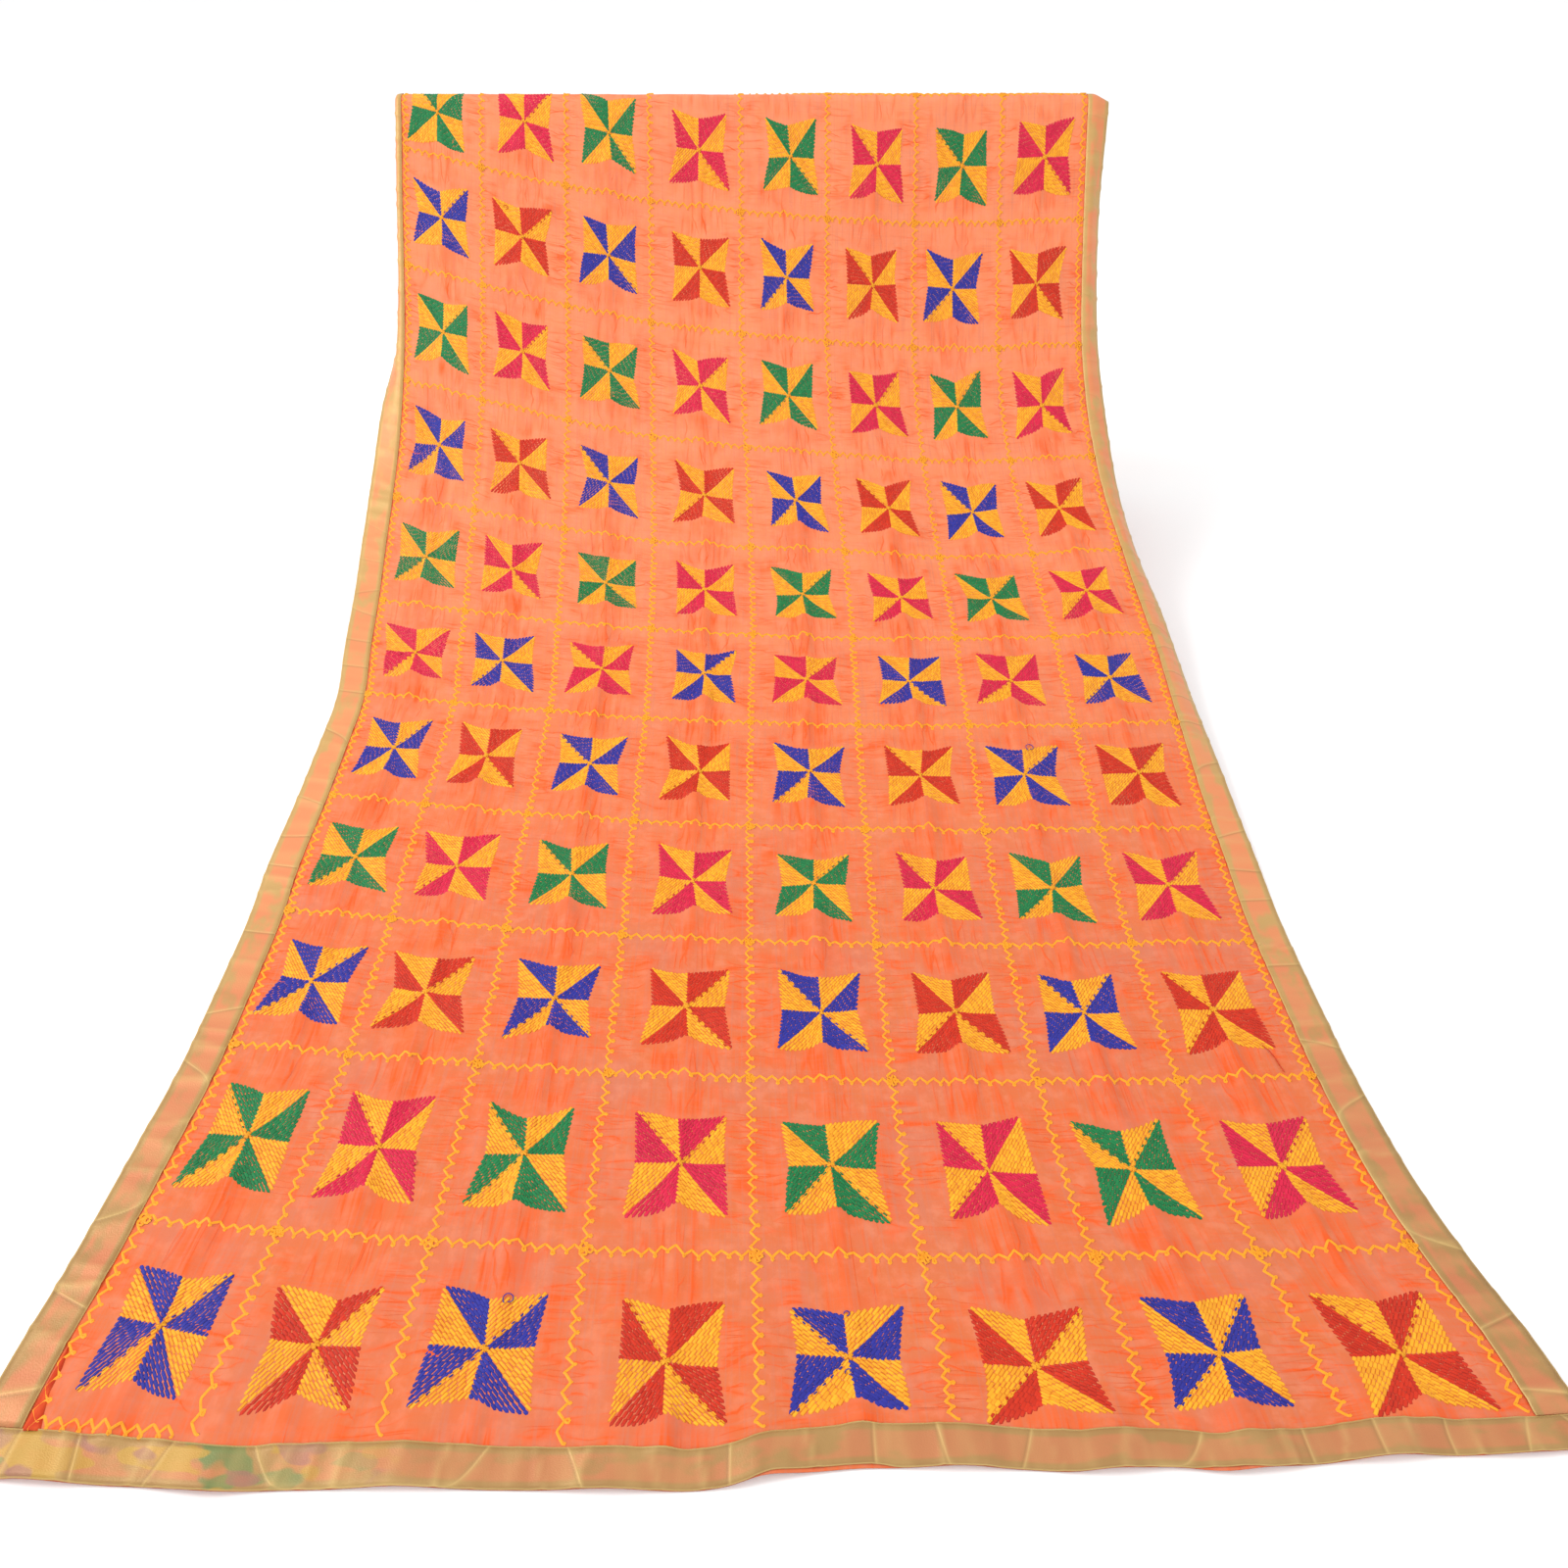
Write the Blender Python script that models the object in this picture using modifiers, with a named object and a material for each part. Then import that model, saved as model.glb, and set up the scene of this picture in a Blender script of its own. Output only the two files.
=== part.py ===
"""A phulkari shawl: an orange cloth bordered with gold tape, hung over a rod and laid out in front of it."""
import bpy
import bmesh
import math
import numpy as np

for item in list(bpy.data.objects):
    bpy.data.objects.remove(item, do_unlink=True)
COLLECTION = bpy.data.collections.new("phulkari_shawl")
bpy.context.scene.collection.children.link(COLLECTION)

# Driving sizes, in metres
HALF_WIDTH = 0.4445        # centre of the cloth to the inner edge of a side tape
TAPE_WIDTH = 0.030         # side tapes
END_TAPE_WIDTH = 0.024     # tapes on the two cut ends
LENGTH = 2.102             # whole cloth, hem to hem
CLOTH_WALL = 0.0012
TAPE_WALL = 0.0010
SEAM_GAP = 0.0003
ROD_RADIUS = 0.012
ROD_HALF_LENGTH = 0.420
ROD_CLEARANCE = 0.0005

# The tape turns back in a narrow band: flat for CURL_START, then bent within CURL_BAND
CURL_START = 0.0045
CURL_BAND = 0.0094

# The cloth bends over the rod between these slopes, in degrees
ROD_REACH = 1.620          # length of cloth in front of the rod
FRONT_SLOPE = 66.0
BACK_SLOPE = -90.0
BEND_RADIUS = ROD_RADIUS + ROD_CLEARANCE + CLOTH_WALL
BEND_LENGTH = BEND_RADIUS * math.radians(FRONT_SLOPE - BACK_SLOPE)
BEHIND_REACH = ROD_REACH + BEND_LENGTH

# Where the cloth's three stretches meet
LAID_END = 0.440
RISING_END = 1.590

# Sections along the cloth. reach: metres from the near hem. slope: degrees above level.
# centre, left, right: millimetres, the middle line and the half widths to the tapes.
# curl_left, curl_right: degrees that each side tape is turned back.
SECTION_COLUMNS = ("reach", "slope", "centre", "left", "right", "curl_left", "curl_right")
SECTIONS = (
    (0.00, 0.0, 41, 460, 465, 0, 0),
    (0.07, 0.0, 39, 458, 461, 0, 0),
    (0.13, 0.0, 36, 449, 447, 0, 0),
    (0.20, 0.0, 32, 442, 437, 0, 0),
    (0.30, 0.0, 28, 433, 434, 0, 0),
    (0.46, 0.0, 24, 435, 438, 0, 0),
    (0.54, 4.5, 22, 441, 444, 0, 0),
    (0.64, 8.5, 20, 437, 446, 0, 5),
    (0.78, 8.0, 19, 435, 450, 0, 30),
    (0.87, 9.5, 19, 451, 453, 0, 38),
    (0.95, 13.5, 18, 459, 450, 0, 32),
    (1.04, 23.0, 15, 465, 446, 0, 50),
    (1.13, 33.0, 10, 462, 437, 0, 45),
    (1.23, 44.0, 4, 454, 431, 12, 34),
    (1.33, 53.0, 0, 448, 428, 75, 44),
    (1.42, 58.5, 0, 447, 428, 155, 52),
    (1.52, 63.0, 0, 445, 428, 172, 50),
    (ROD_REACH, FRONT_SLOPE, 0, 439, 427, 175, 25),
    (BEHIND_REACH, BACK_SLOPE, 0, 439, 427, 175, 25),
    (1.76, BACK_SLOPE, 0, 440, 432, 90, 22),
    (1.88, BACK_SLOPE, 0, 442, 440, 22, 18),
    (LENGTH, BACK_SLOPE, 0, 444, 444, 12, 10),
)
SECTION = {name: np.array(values, float) for name, values in zip(SECTION_COLUMNS, zip(*SECTIONS))}
SECTION_ROUNDING = 0.03    # reach each way over which the corners between sections are rounded

# Soft folds. across: metres from the middle line. start, end: reach. height, spread: millimetres.
FOLD_COLUMNS = ("across", "start", "end", "height", "spread")
FOLDS = (
    (-0.425, -0.05, 0.07, 4.0, 26),
    (-0.330, -0.05, 0.09, 4.5, 24),
    (-0.215, -0.05, 0.06, 3.5, 28),
    (-0.095, -0.05, 0.10, 4.0, 26),
    (-0.010, -0.05, 0.08, 5.0, 20),
    (0.105, -0.05, 0.07, 3.5, 24),
    (0.190, -0.05, 0.09, 4.5, 20),
    (0.275, -0.05, 0.08, 4.0, 22),
    (0.350, -0.05, 0.07, 4.5, 22),
    (0.430, -0.05, 0.10, 3.5, 24),
    (-0.345, 0.95, 1.50, 5.0, 60),
    (-0.150, 1.00, 1.52, -4.0, 70),
    (0.060, 0.98, 1.50, 4.5, 70),
    (0.250, 0.95, 1.50, -4.0, 60),
    (0.400, 0.90, 1.45, 3.5, 40),
    (-0.260, 1.74, 2.20, 7.0, 70),
    (0.020, 1.76, 2.20, -6.0, 80),
    (0.290, 1.74, 2.20, 7.0, 70),
)
FOLD_FADE = 0.10           # length over which a fold dies away
FOLD_FOOT = 0.04           # share of its height below which a fold is flat

# The hems aren't square to the middle line. skew: metres per metre across. bow: metres per square metre.
NEAR_SKEW, NEAR_BOW = 0.015, 0.06
FAR_SKEW, FAR_BOW = -0.060, 0.10
BOW_CENTRE = 0.07          # square of the distance across at which a bowed hem crosses its straight line
NEAR_BEND_LENGTH = 0.16    # over which the stations turn from the hem's line to the rod's
FAR_BEND_LENGTH = 0.32

# Cross lines along each stretch, lines across between the tapes and in a curl band, and sides of the rod
LAID_LINES = 10
RISING_LINES = 27
BEND_LINES = 11
BEHIND_LINES = 10
MIDDLE_COLUMNS = 19
CURL_COLUMNS = 4
CLOSEST_LINES = 0.004
ROD_SIDES = 32


def section_value(column, reach):
    """A column of SECTIONS at each reach, its corners rounded by the average of seven places round it."""
    shifts = np.linspace(-SECTION_ROUNDING, SECTION_ROUNDING, 7)
    samples = [np.interp(reach + shift, SECTION["reach"], SECTION[column]) for shift in shifts]
    return np.mean(samples, axis=0)


def sweep_profile():
    """Side view of the cloth's face: the slope integrated along its length, from the rod's axis."""
    step = 0.0005
    reach = np.arange(-0.03, LENGTH + 0.06, step)
    slope = np.radians(np.interp(reach, SECTION["reach"], SECTION["slope"]))
    middle = (slope[1:] + slope[:-1]) / 2
    y = np.concatenate([[0.0], np.cumsum(np.cos(middle))]) * step
    z = np.concatenate([[0.0], np.cumsum(np.sin(middle))]) * step
    start = math.radians(FRONT_SLOPE)
    y_axis = np.interp(ROD_REACH, reach, y) + BEND_RADIUS * math.sin(start)
    z_axis = np.interp(ROD_REACH, reach, z) - BEND_RADIUS * math.cos(start)
    return reach, y - y_axis, z - z_axis, slope


PROFILE = sweep_profile()


def fold_height(across, reach):
    """Sum of soft folds: a bell across the cloth, cut off at its foot, faded in and out along it."""
    height = np.zeros(np.broadcast(across, reach).shape)
    for row in FOLDS:
        fold = dict(zip(FOLD_COLUMNS, row))
        bell = np.exp(-((across - fold["across"]) / (fold["spread"] / 1000)) ** 2)
        bell = np.maximum(bell - FOLD_FOOT, 0) / (1 - FOLD_FOOT)
        rise = np.clip((reach - fold["start"]) / FOLD_FADE + 0.5, 0, 1)
        fall = np.clip((fold["end"] - reach) / FOLD_FADE + 0.5, 0, 1)
        window = np.minimum(rise, fall)
        height = height + fold["height"] / 1000 * bell * window * window * (3 - 2 * window)
    return height


def cloth_face(across, reach):
    """The cloth's face. across: metres from the middle line of the flat cloth, + to the right.
    Inside the tapes the section is straight. Each tape bends back evenly within its curl band."""
    across, reach = np.broadcast_arrays(across, reach)
    stations, y_line, z_line, slope_line = PROFILE
    y = np.interp(reach, stations, y_line)
    z = np.interp(reach, stations, z_line)
    slope = np.interp(reach, stations, slope_line)
    right = across > 0
    side = np.where(right, 1.0, -1.0)
    half = np.where(right, section_value("right", reach), section_value("left", reach)) / 1000
    curl = np.radians(np.where(right, section_value("curl_right", reach), section_value("curl_left", reach)))
    curl = np.maximum(curl, 1e-6)
    inside = np.minimum(np.abs(across), HALF_WIDTH)
    beyond = np.maximum(np.abs(across) - HALF_WIDTH, 0)
    flat = np.minimum(beyond, CURL_START)
    bent = np.clip(beyond - CURL_START, 0, CURL_BAND)
    rest = np.maximum(beyond - CURL_START - CURL_BAND, 0)
    radius = CURL_BAND / curl
    turn = bent / radius
    out = flat + radius * np.sin(turn) + rest * np.cos(turn)
    back = radius * (1 - np.cos(turn)) + rest * np.sin(turn)
    x = section_value("centre", reach) / 1000 + side * (inside * half / HALF_WIDTH + out)
    lift = fold_height(np.clip(across, -HALF_WIDTH, HALF_WIDTH), reach) - back
    return np.stack([x, y - lift * np.sin(slope), z + lift * np.cos(slope)], axis=-1)


def outward(across, reach):
    """Unit normals of the face, from small steps each way."""
    step = 1e-4
    along = cloth_face(across, reach + step) - cloth_face(across, reach - step)
    over = cloth_face(across + step, reach) - cloth_face(across - step, reach)
    normal = np.cross(over, along)
    return normal / np.linalg.norm(normal, axis=-1, keepdims=True)


def columns():
    """Distances across the cloth: even between the tapes, closer in the curl bands."""
    middle = np.linspace(-HALF_WIDTH, HALF_WIDTH, MIDDLE_COLUMNS)
    curl = HALF_WIDTH + CURL_START + np.linspace(0, CURL_BAND, CURL_COLUMNS)
    edge = HALF_WIDTH + TAPE_WIDTH
    outer = np.concatenate([curl, [(curl[-1] + edge) / 2, edge]])
    return np.concatenate([-outer[::-1], middle, outer])


def stations(start, end):
    """Reaches of the cross lines between two ends: about every 45 mm, and every 16 degrees over the rod."""
    laid = np.linspace(END_TAPE_WIDTH, LAID_END, LAID_LINES)
    rising = np.linspace(LAID_END, RISING_END, RISING_LINES)
    bend = np.linspace(ROD_REACH, BEHIND_REACH, BEND_LINES)
    behind = np.linspace(BEHIND_REACH, LENGTH - END_TAPE_WIDTH, BEHIND_LINES)
    lines = np.concatenate([[0.0], laid, rising[1:], bend, behind[1:], [LENGTH]])
    inner = lines[(lines > start + CLOSEST_LINES) & (lines < end - CLOSEST_LINES)]
    return np.concatenate([[start], inner, [end]])


def bend_to_hems(across, reach):
    """Cross lines near each hem follow the hem, and those at the rod are square to the sweep."""
    near = np.clip(1 - reach / NEAR_BEND_LENGTH, 0, 1)
    far = np.clip((reach - LENGTH + FAR_BEND_LENGTH) / FAR_BEND_LENGTH, 0, 1)
    bowed = across ** 2 - BOW_CENTRE
    return reach + near * (NEAR_SKEW * across + NEAR_BOW * bowed) + far * (FAR_SKEW * across + FAR_BOW * bowed)


def material(name, colour, roughness, metallic=0.0):
    finish = bpy.data.materials.new(name)
    finish.use_nodes = True
    shader = finish.node_tree.nodes["Principled BSDF"]
    shader.inputs["Base Color"].default_value = (*colour, 1.0)
    shader.inputs["Roughness"].default_value = roughness
    shader.inputs["Metallic"].default_value = metallic
    finish.diffuse_color = (*colour, 1.0)
    return finish


def wall(name, across, reach, finish, thickness, raised=0.0):
    """A sheet through a grid of points on the face, moved out by raised, with a wall made by Solidify.
    A wall that isn't raised is behind the face, and a raised one in front of it."""
    across_grid, reach_grid = np.meshgrid(across, reach)
    reach_grid = bend_to_hems(across_grid, reach_grid)
    points = cloth_face(across_grid, reach_grid) + raised * outward(across_grid, reach_grid)
    rows, cols = across_grid.shape
    mesh = bmesh.new()
    verts = [[mesh.verts.new(points[r, c]) for c in range(cols)] for r in range(rows)]
    for r in range(rows - 1):
        for c in range(cols - 1):
            mesh.faces.new((verts[r][c], verts[r][c + 1], verts[r + 1][c + 1], verts[r + 1][c]))
    data = bpy.data.meshes.new(name)
    mesh.to_mesh(data)
    mesh.free()
    data.materials.append(finish)
    data.shade_smooth()
    sheet = bpy.data.objects.new(name, data)
    COLLECTION.objects.link(sheet)
    solidify = sheet.modifiers.new("wall", "SOLIDIFY")
    solidify.thickness = thickness
    solidify.offset = 1.0 if raised else -1.0
    solidify.use_even_offset = True
    return sheet


def ground_cloth():
    """The orange cloth in its three stretches: laid flat, rising to the rod, and hanging behind it."""
    orange = material("orange_muslin", (0.93, 0.22, 0.06), 0.85)
    across = columns()
    half_gap = SEAM_GAP / 2
    wall("cloth_laid", across, stations(0, LAID_END - half_gap), orange, CLOTH_WALL)
    wall("cloth_rising", across, stations(LAID_END + half_gap, RISING_END - half_gap), orange, CLOTH_WALL)
    wall("cloth_behind", across, stations(RISING_END + half_gap, LENGTH), orange, CLOTH_WALL)


def border_tapes():
    """Gold tape sewn on the face round the edge. The side tapes run between the end tapes."""
    gold = material("gold_tissue", (0.62, 0.46, 0.18), 0.45, 0.3)
    across = columns()
    left = across[across < -HALF_WIDTH + 1e-6]
    right = across[across > HALF_WIDTH - 1e-6]
    between = stations(END_TAPE_WIDTH + SEAM_GAP, LENGTH - END_TAPE_WIDTH - SEAM_GAP)
    wall("tape_left", left, between, gold, TAPE_WALL, raised=SEAM_GAP)
    wall("tape_right", right, between, gold, TAPE_WALL, raised=SEAM_GAP)
    near = np.array([0.0, END_TAPE_WIDTH])
    far = np.array([LENGTH - END_TAPE_WIDTH, LENGTH])
    wall("tape_near_end", across, near, gold, TAPE_WALL, raised=SEAM_GAP)
    wall("tape_far_end", across, far, gold, TAPE_WALL, raised=SEAM_GAP)


def hanging_rod():
    """A plain white rod through the bend of the cloth, its axis on the origin."""
    white = material("white_rod", (0.85, 0.85, 0.83), 0.4)
    bpy.ops.mesh.primitive_cylinder_add(vertices=ROD_SIDES, radius=ROD_RADIUS, depth=2 * ROD_HALF_LENGTH,
                                        rotation=(0, math.pi / 2, 0))
    rod = bpy.context.object
    rod.name = "rod"
    rod.data.materials.append(white)
    for owner in list(rod.users_collection):
        owner.objects.unlink(rod)
    COLLECTION.objects.link(rod)
    rod.data.shade_smooth()
    rod.data.set_sharp_from_angle(angle=math.radians(40))


ground_cloth()
border_tapes()
hanging_rod()
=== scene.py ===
"""The looks of a phulkari shawl: sheer orange muslin, gold tissue tapes, floss pinwheels, couched zigzags."""
import math

import bpy
import numpy as np
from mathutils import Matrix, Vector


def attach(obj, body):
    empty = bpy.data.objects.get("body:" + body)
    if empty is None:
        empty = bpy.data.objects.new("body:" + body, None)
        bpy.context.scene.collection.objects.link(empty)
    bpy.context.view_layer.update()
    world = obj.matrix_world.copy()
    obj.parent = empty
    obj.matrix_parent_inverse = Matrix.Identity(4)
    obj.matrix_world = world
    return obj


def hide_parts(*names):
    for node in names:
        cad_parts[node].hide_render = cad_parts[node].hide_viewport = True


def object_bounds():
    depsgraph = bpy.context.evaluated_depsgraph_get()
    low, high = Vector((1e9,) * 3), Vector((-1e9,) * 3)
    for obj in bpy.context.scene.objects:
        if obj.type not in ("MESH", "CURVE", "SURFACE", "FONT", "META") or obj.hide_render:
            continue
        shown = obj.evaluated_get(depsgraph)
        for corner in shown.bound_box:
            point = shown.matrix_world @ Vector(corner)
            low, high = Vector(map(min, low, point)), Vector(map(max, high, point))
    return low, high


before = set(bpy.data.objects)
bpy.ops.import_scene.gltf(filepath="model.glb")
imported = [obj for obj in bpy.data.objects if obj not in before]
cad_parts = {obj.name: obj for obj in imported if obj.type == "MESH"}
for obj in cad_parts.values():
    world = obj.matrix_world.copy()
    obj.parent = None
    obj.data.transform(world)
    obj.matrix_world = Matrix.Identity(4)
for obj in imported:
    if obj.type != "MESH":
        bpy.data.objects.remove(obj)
cad_low, cad_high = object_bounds()


# The view
# The cloth is seen from a step in front of its near hem, from above, with a short wide lens, so that the laid
# part spreads towards the viewer and the hanging part narrows away to the rod.
VIEW_PLACE = (0.0435, -1.7113, 0.2302)
VIEW_DOWN_DEGREES = 37.6
VIEW_LENS_MM = 27.0

camera = bpy.data.objects.new("camera", bpy.data.cameras.new("camera"))
camera.data.lens = VIEW_LENS_MM
camera.data.clip_start = 0.05
camera.location = VIEW_PLACE
camera.rotation_euler = (math.radians(90 - VIEW_DOWN_DEGREES), 0, 0)
bpy.context.scene.collection.objects.link(camera)
bpy.context.scene.camera = camera
bpy.context.scene.view_settings.view_transform = "Standard"


# The ground cloth
# One length of thin plain-woven cotton, dyed orange and left sheer. It lies flat near the viewer, rises in a
# sweep, bends over the rod and falls behind it. The embroidery draws it up: a soft ridge runs up every column
# of motifs, and short puckers cross from each motif to the next.
HALF_WIDTH = 0.4445            # middle of the flat cloth to the inner edge of a side tape
TAPE_WIDTH = 0.030
END_TAPE_WIDTH = 0.024
LENGTH = 2.102
ROD_RADIUS = 0.012
ROD_GAP = 0.0005
SOLID_THICKNESS = 0.0012
BEND_RADIUS = ROD_RADIUS + ROD_GAP + SOLID_THICKNESS      # from the rod's axis to the cloth's face
ROD_REACH = 1.620
FRONT_SLOPE = 66.0
BACK_SLOPE = -90.0
BEHIND_REACH = ROD_REACH + BEND_RADIUS * math.radians(FRONT_SLOPE - BACK_SLOPE)
CURL_START = 0.0045            # a side tape is flat this far, then turns back within the curl band
CURL_BAND = 0.0094

# Sections along the cloth. reach: metres from the near hem. slope: degrees above level. centre, left, right:
# mm, the middle line and the half widths to the tapes. curl: degrees that each side tape is turned back.
SECTION_COLUMNS = ("reach", "slope", "centre", "left", "right", "curl_left", "curl_right")
SECTIONS = (
    (0.00, 0.0, 41, 460, 465, 0, 0),
    (0.07, 0.0, 39, 458, 461, 0, 0),
    (0.13, 0.0, 36, 449, 447, 0, 0),
    (0.20, 0.0, 32, 442, 437, 0, 0),
    (0.30, 0.0, 28, 433, 434, 0, 0),
    (0.46, 0.0, 24, 435, 438, 0, 0),
    (0.54, 4.5, 22, 441, 444, 0, 0),
    (0.64, 8.5, 20, 437, 446, 0, 5),
    (0.78, 8.0, 19, 435, 450, 0, 30),
    (0.87, 9.5, 19, 451, 453, 0, 38),
    (0.95, 13.5, 18, 459, 450, 0, 32),
    (1.04, 23.0, 15, 465, 446, 0, 50),
    (1.13, 33.0, 10, 462, 437, 0, 45),
    (1.23, 44.0, 4, 454, 431, 12, 34),
    (1.33, 53.0, 0, 448, 428, 75, 44),
    (1.42, 58.5, 0, 447, 428, 155, 52),
    (1.52, 63.0, 0, 445, 428, 172, 50),
    (ROD_REACH, FRONT_SLOPE, 0, 439, 427, 175, 25),
    (BEHIND_REACH, BACK_SLOPE, 0, 439, 427, 175, 25),
    (1.76, BACK_SLOPE, 0, 440, 432, 90, 22),
    (1.88, BACK_SLOPE, 0, 442, 440, 22, 18),
    (LENGTH, BACK_SLOPE, 0, 444, 444, 12, 10),
)
SECTION = {name: np.array(values, float) for name, values in zip(SECTION_COLUMNS, zip(*SECTIONS))}
SECTION_ROUNDING = 0.03

# Broad folds. across: metres from the middle line. start, end: reach. height, spread: millimetres.
FOLD_COLUMNS = ("across", "start", "end", "height", "spread")
FOLDS = (
    (-0.425, -0.05, 0.07, 4.0, 26),
    (-0.330, -0.05, 0.09, 4.5, 24),
    (-0.215, -0.05, 0.06, 3.5, 28),
    (-0.095, -0.05, 0.10, 4.0, 26),
    (-0.010, -0.05, 0.08, 5.0, 20),
    (0.105, -0.05, 0.07, 3.5, 24),
    (0.190, -0.05, 0.09, 4.5, 20),
    (0.275, -0.05, 0.08, 4.0, 22),
    (0.350, -0.05, 0.07, 4.5, 22),
    (0.430, -0.05, 0.10, 3.5, 24),
    (-0.345, 0.95, 1.50, 5.0, 60),
    (-0.150, 1.00, 1.52, -4.0, 70),
    (0.060, 0.98, 1.50, 4.5, 70),
    (0.250, 0.95, 1.50, -4.0, 60),
    (0.400, 0.90, 1.45, 3.5, 40),
    (-0.260, 1.74, 2.20, 7.0, 70),
    (0.020, 1.76, 2.20, -6.0, 80),
    (0.290, 1.74, 2.20, 7.0, 70),
)
FOLD_FADE = 0.10
FOLD_FOOT = 0.04

# The weft isn't square to the middle line. length: metres along the cloth from the near hem. skew:
# thousandths of the distance across. bow: thousandths of a metre for a square metre across.
WEFT_COLUMNS = ("length", "skew", "bow")
WEFTS = (
    (0.00, 15, 60),
    (0.07, -15, 85),
    (0.22, -33, 90),
    (0.37, -41, 105),
    (0.52, -50, 108),
    (0.67, -49, 116),
    (0.82, -54, 141),
    (0.98, -75, 196),
    (1.13, -115, 210),
    (1.28, -123, 206),
    (1.43, -104, 187),
    (1.58, -87, 170),
    (1.75, -80, 150),
    (LENGTH, -60, 100),
)
WEFT = {name: np.array(values, float) for name, values in zip(WEFT_COLUMNS, zip(*WEFTS))}
BOW_CENTRE = 0.07

# The near hem isn't straight: how far it is drawn in, + towards the rod, at places across. Both in mm. Each
# corner of that line is rounded by the average of a few places beside it.
HEM_PLACES = (-445, -415, -365, -325, -285, -220, -50, -25, -10, 45,
              105, 145, 170, 225, 255, 290, 325, 365, 425)
HEM_DRIFTS = (-6, -7, -7, -11, -7, -4, -6, -3, 3, 9, 7.5, 4, 1, 2, -4, -2, 0, 1, -3)
HEM_ROUNDING = (-8, -4, 0, 4, 8)
HEM_DRIFT_END = 0.056

# The embroiderer's layout: cell borders and motif centres across, and a row of motifs every ROW_PITCH
CELL_LINES = np.array((-0.4395, -0.3425, -0.2345, -0.1275, -0.0115, 0.1025, 0.2195, 0.3325, 0.4395))
MOTIF_CENTRES = np.array((-0.3945, -0.2925, -0.1815, -0.0655, 0.0485, 0.1635, 0.2715, 0.3835))
MOTIFS = len(MOTIF_CENTRES)    # in a row
FIRST_ROW = 0.0695
ROW_PITCH = 0.151
ROWS = 14
FIRST_CROSS_LINE = 0.145
MOTIF_HALF_WIDTH = 0.0355
MOTIF_HALF_HEIGHT = 0.0435

# Mesh lines: the distance between them on the open cloth and over the rod, and how many bend a tape back
CLOTH_STEP = 0.0050
BEND_STEP = 0.0036
BEHIND_STEP = 0.0060
CURL_STEPS = 6
CLOTH_THICKNESS = 0.00035
LAID_LENGTH = 0.44             # where one stretch of the cloth ends and the next starts
RISING_LENGTH = 1.57
FLOOR_ROOM = 0.0006            # how far a trough may lie under the face where the cloth is laid


def smooth(value, low, high):
    """0 below low, 1 above high, and the cubic 3x^2 - 2x^3 between them."""
    x = np.clip((value - low) / (high - low), 0, 1)
    return x * x * (3 - 2 * x)


def bell(value, spread):
    """1 at 0, falling off on both sides as e to the power -(value / spread)^2."""
    return np.exp(-(value / spread) ** 2)


def section_value(column, reach):
    """A column of SECTIONS at each reach, its corners rounded by the average of seven places round it."""
    shifts = np.linspace(-SECTION_ROUNDING, SECTION_ROUNDING, 7)
    return np.mean([np.interp(reach + shift, SECTION["reach"], SECTION[column]) for shift in shifts], axis=0)


def sweep_profile():
    """Side view of the cloth's face: the slope integrated along its length, measured from the rod's axis."""
    step = 0.0005
    reach = np.arange(-0.03, LENGTH + 0.06, step)
    slope = np.radians(np.interp(reach, SECTION["reach"], SECTION["slope"]))
    middle = (slope[1:] + slope[:-1]) / 2
    y = np.concatenate([[0.0], np.cumsum(np.cos(middle))]) * step
    z = np.concatenate([[0.0], np.cumsum(np.sin(middle))]) * step
    start = math.radians(FRONT_SLOPE)
    y_axis = np.interp(ROD_REACH, reach, y) + BEND_RADIUS * math.sin(start)
    z_axis = np.interp(ROD_REACH, reach, z) - BEND_RADIUS * math.cos(start)
    return reach, y - y_axis, z - z_axis, slope


PROFILE = sweep_profile()


def fold_height(across, reach):
    """Sum of broad folds: a bell across the cloth, cut off at its foot, faded in and out along it."""
    height = np.zeros(np.broadcast(across, reach).shape)
    for row in FOLDS:
        fold = dict(zip(FOLD_COLUMNS, row))
        form = bell(across - fold["across"], fold["spread"] / 1000)
        form = np.maximum(form - FOLD_FOOT, 0) / (1 - FOLD_FOOT)
        window = np.minimum(smooth(reach, fold["start"] - FOLD_FADE / 2, fold["start"] + FOLD_FADE / 2),
                            1 - smooth(reach, fold["end"] - FOLD_FADE / 2, fold["end"] + FOLD_FADE / 2))
        height = height + fold["height"] / 1000 * form * window
    return height


def hem_drift(across, length):
    """How far the near hem's drift moves a point: nearly whole over the tape, fading to nothing above it."""
    places = [across * 1000 + shift for shift in HEM_ROUNDING]
    drift = np.mean([np.interp(place, HEM_PLACES, HEM_DRIFTS) for place in places], axis=0) / 1000
    over_tape = 0.75 + 0.25 * smooth(length, 0, END_TAPE_WIDTH)
    return drift * (over_tape * (1 - smooth(length, END_TAPE_WIDTH, HEM_DRIFT_END)))


def weft_reach(across, length):
    """Reach of a point of the weft line that starts at this length on the middle line: skewed and bowed by
    skew * across + bow * (across^2 - centre), and near the hem shifted with the hem's drift."""
    skew = np.interp(length, WEFT["length"], WEFT["skew"]) / 1000
    bow = np.interp(length, WEFT["length"], WEFT["bow"]) / 1000
    return length + skew * across + bow * (across ** 2 - BOW_CENTRE) + hem_drift(across, length)


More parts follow.
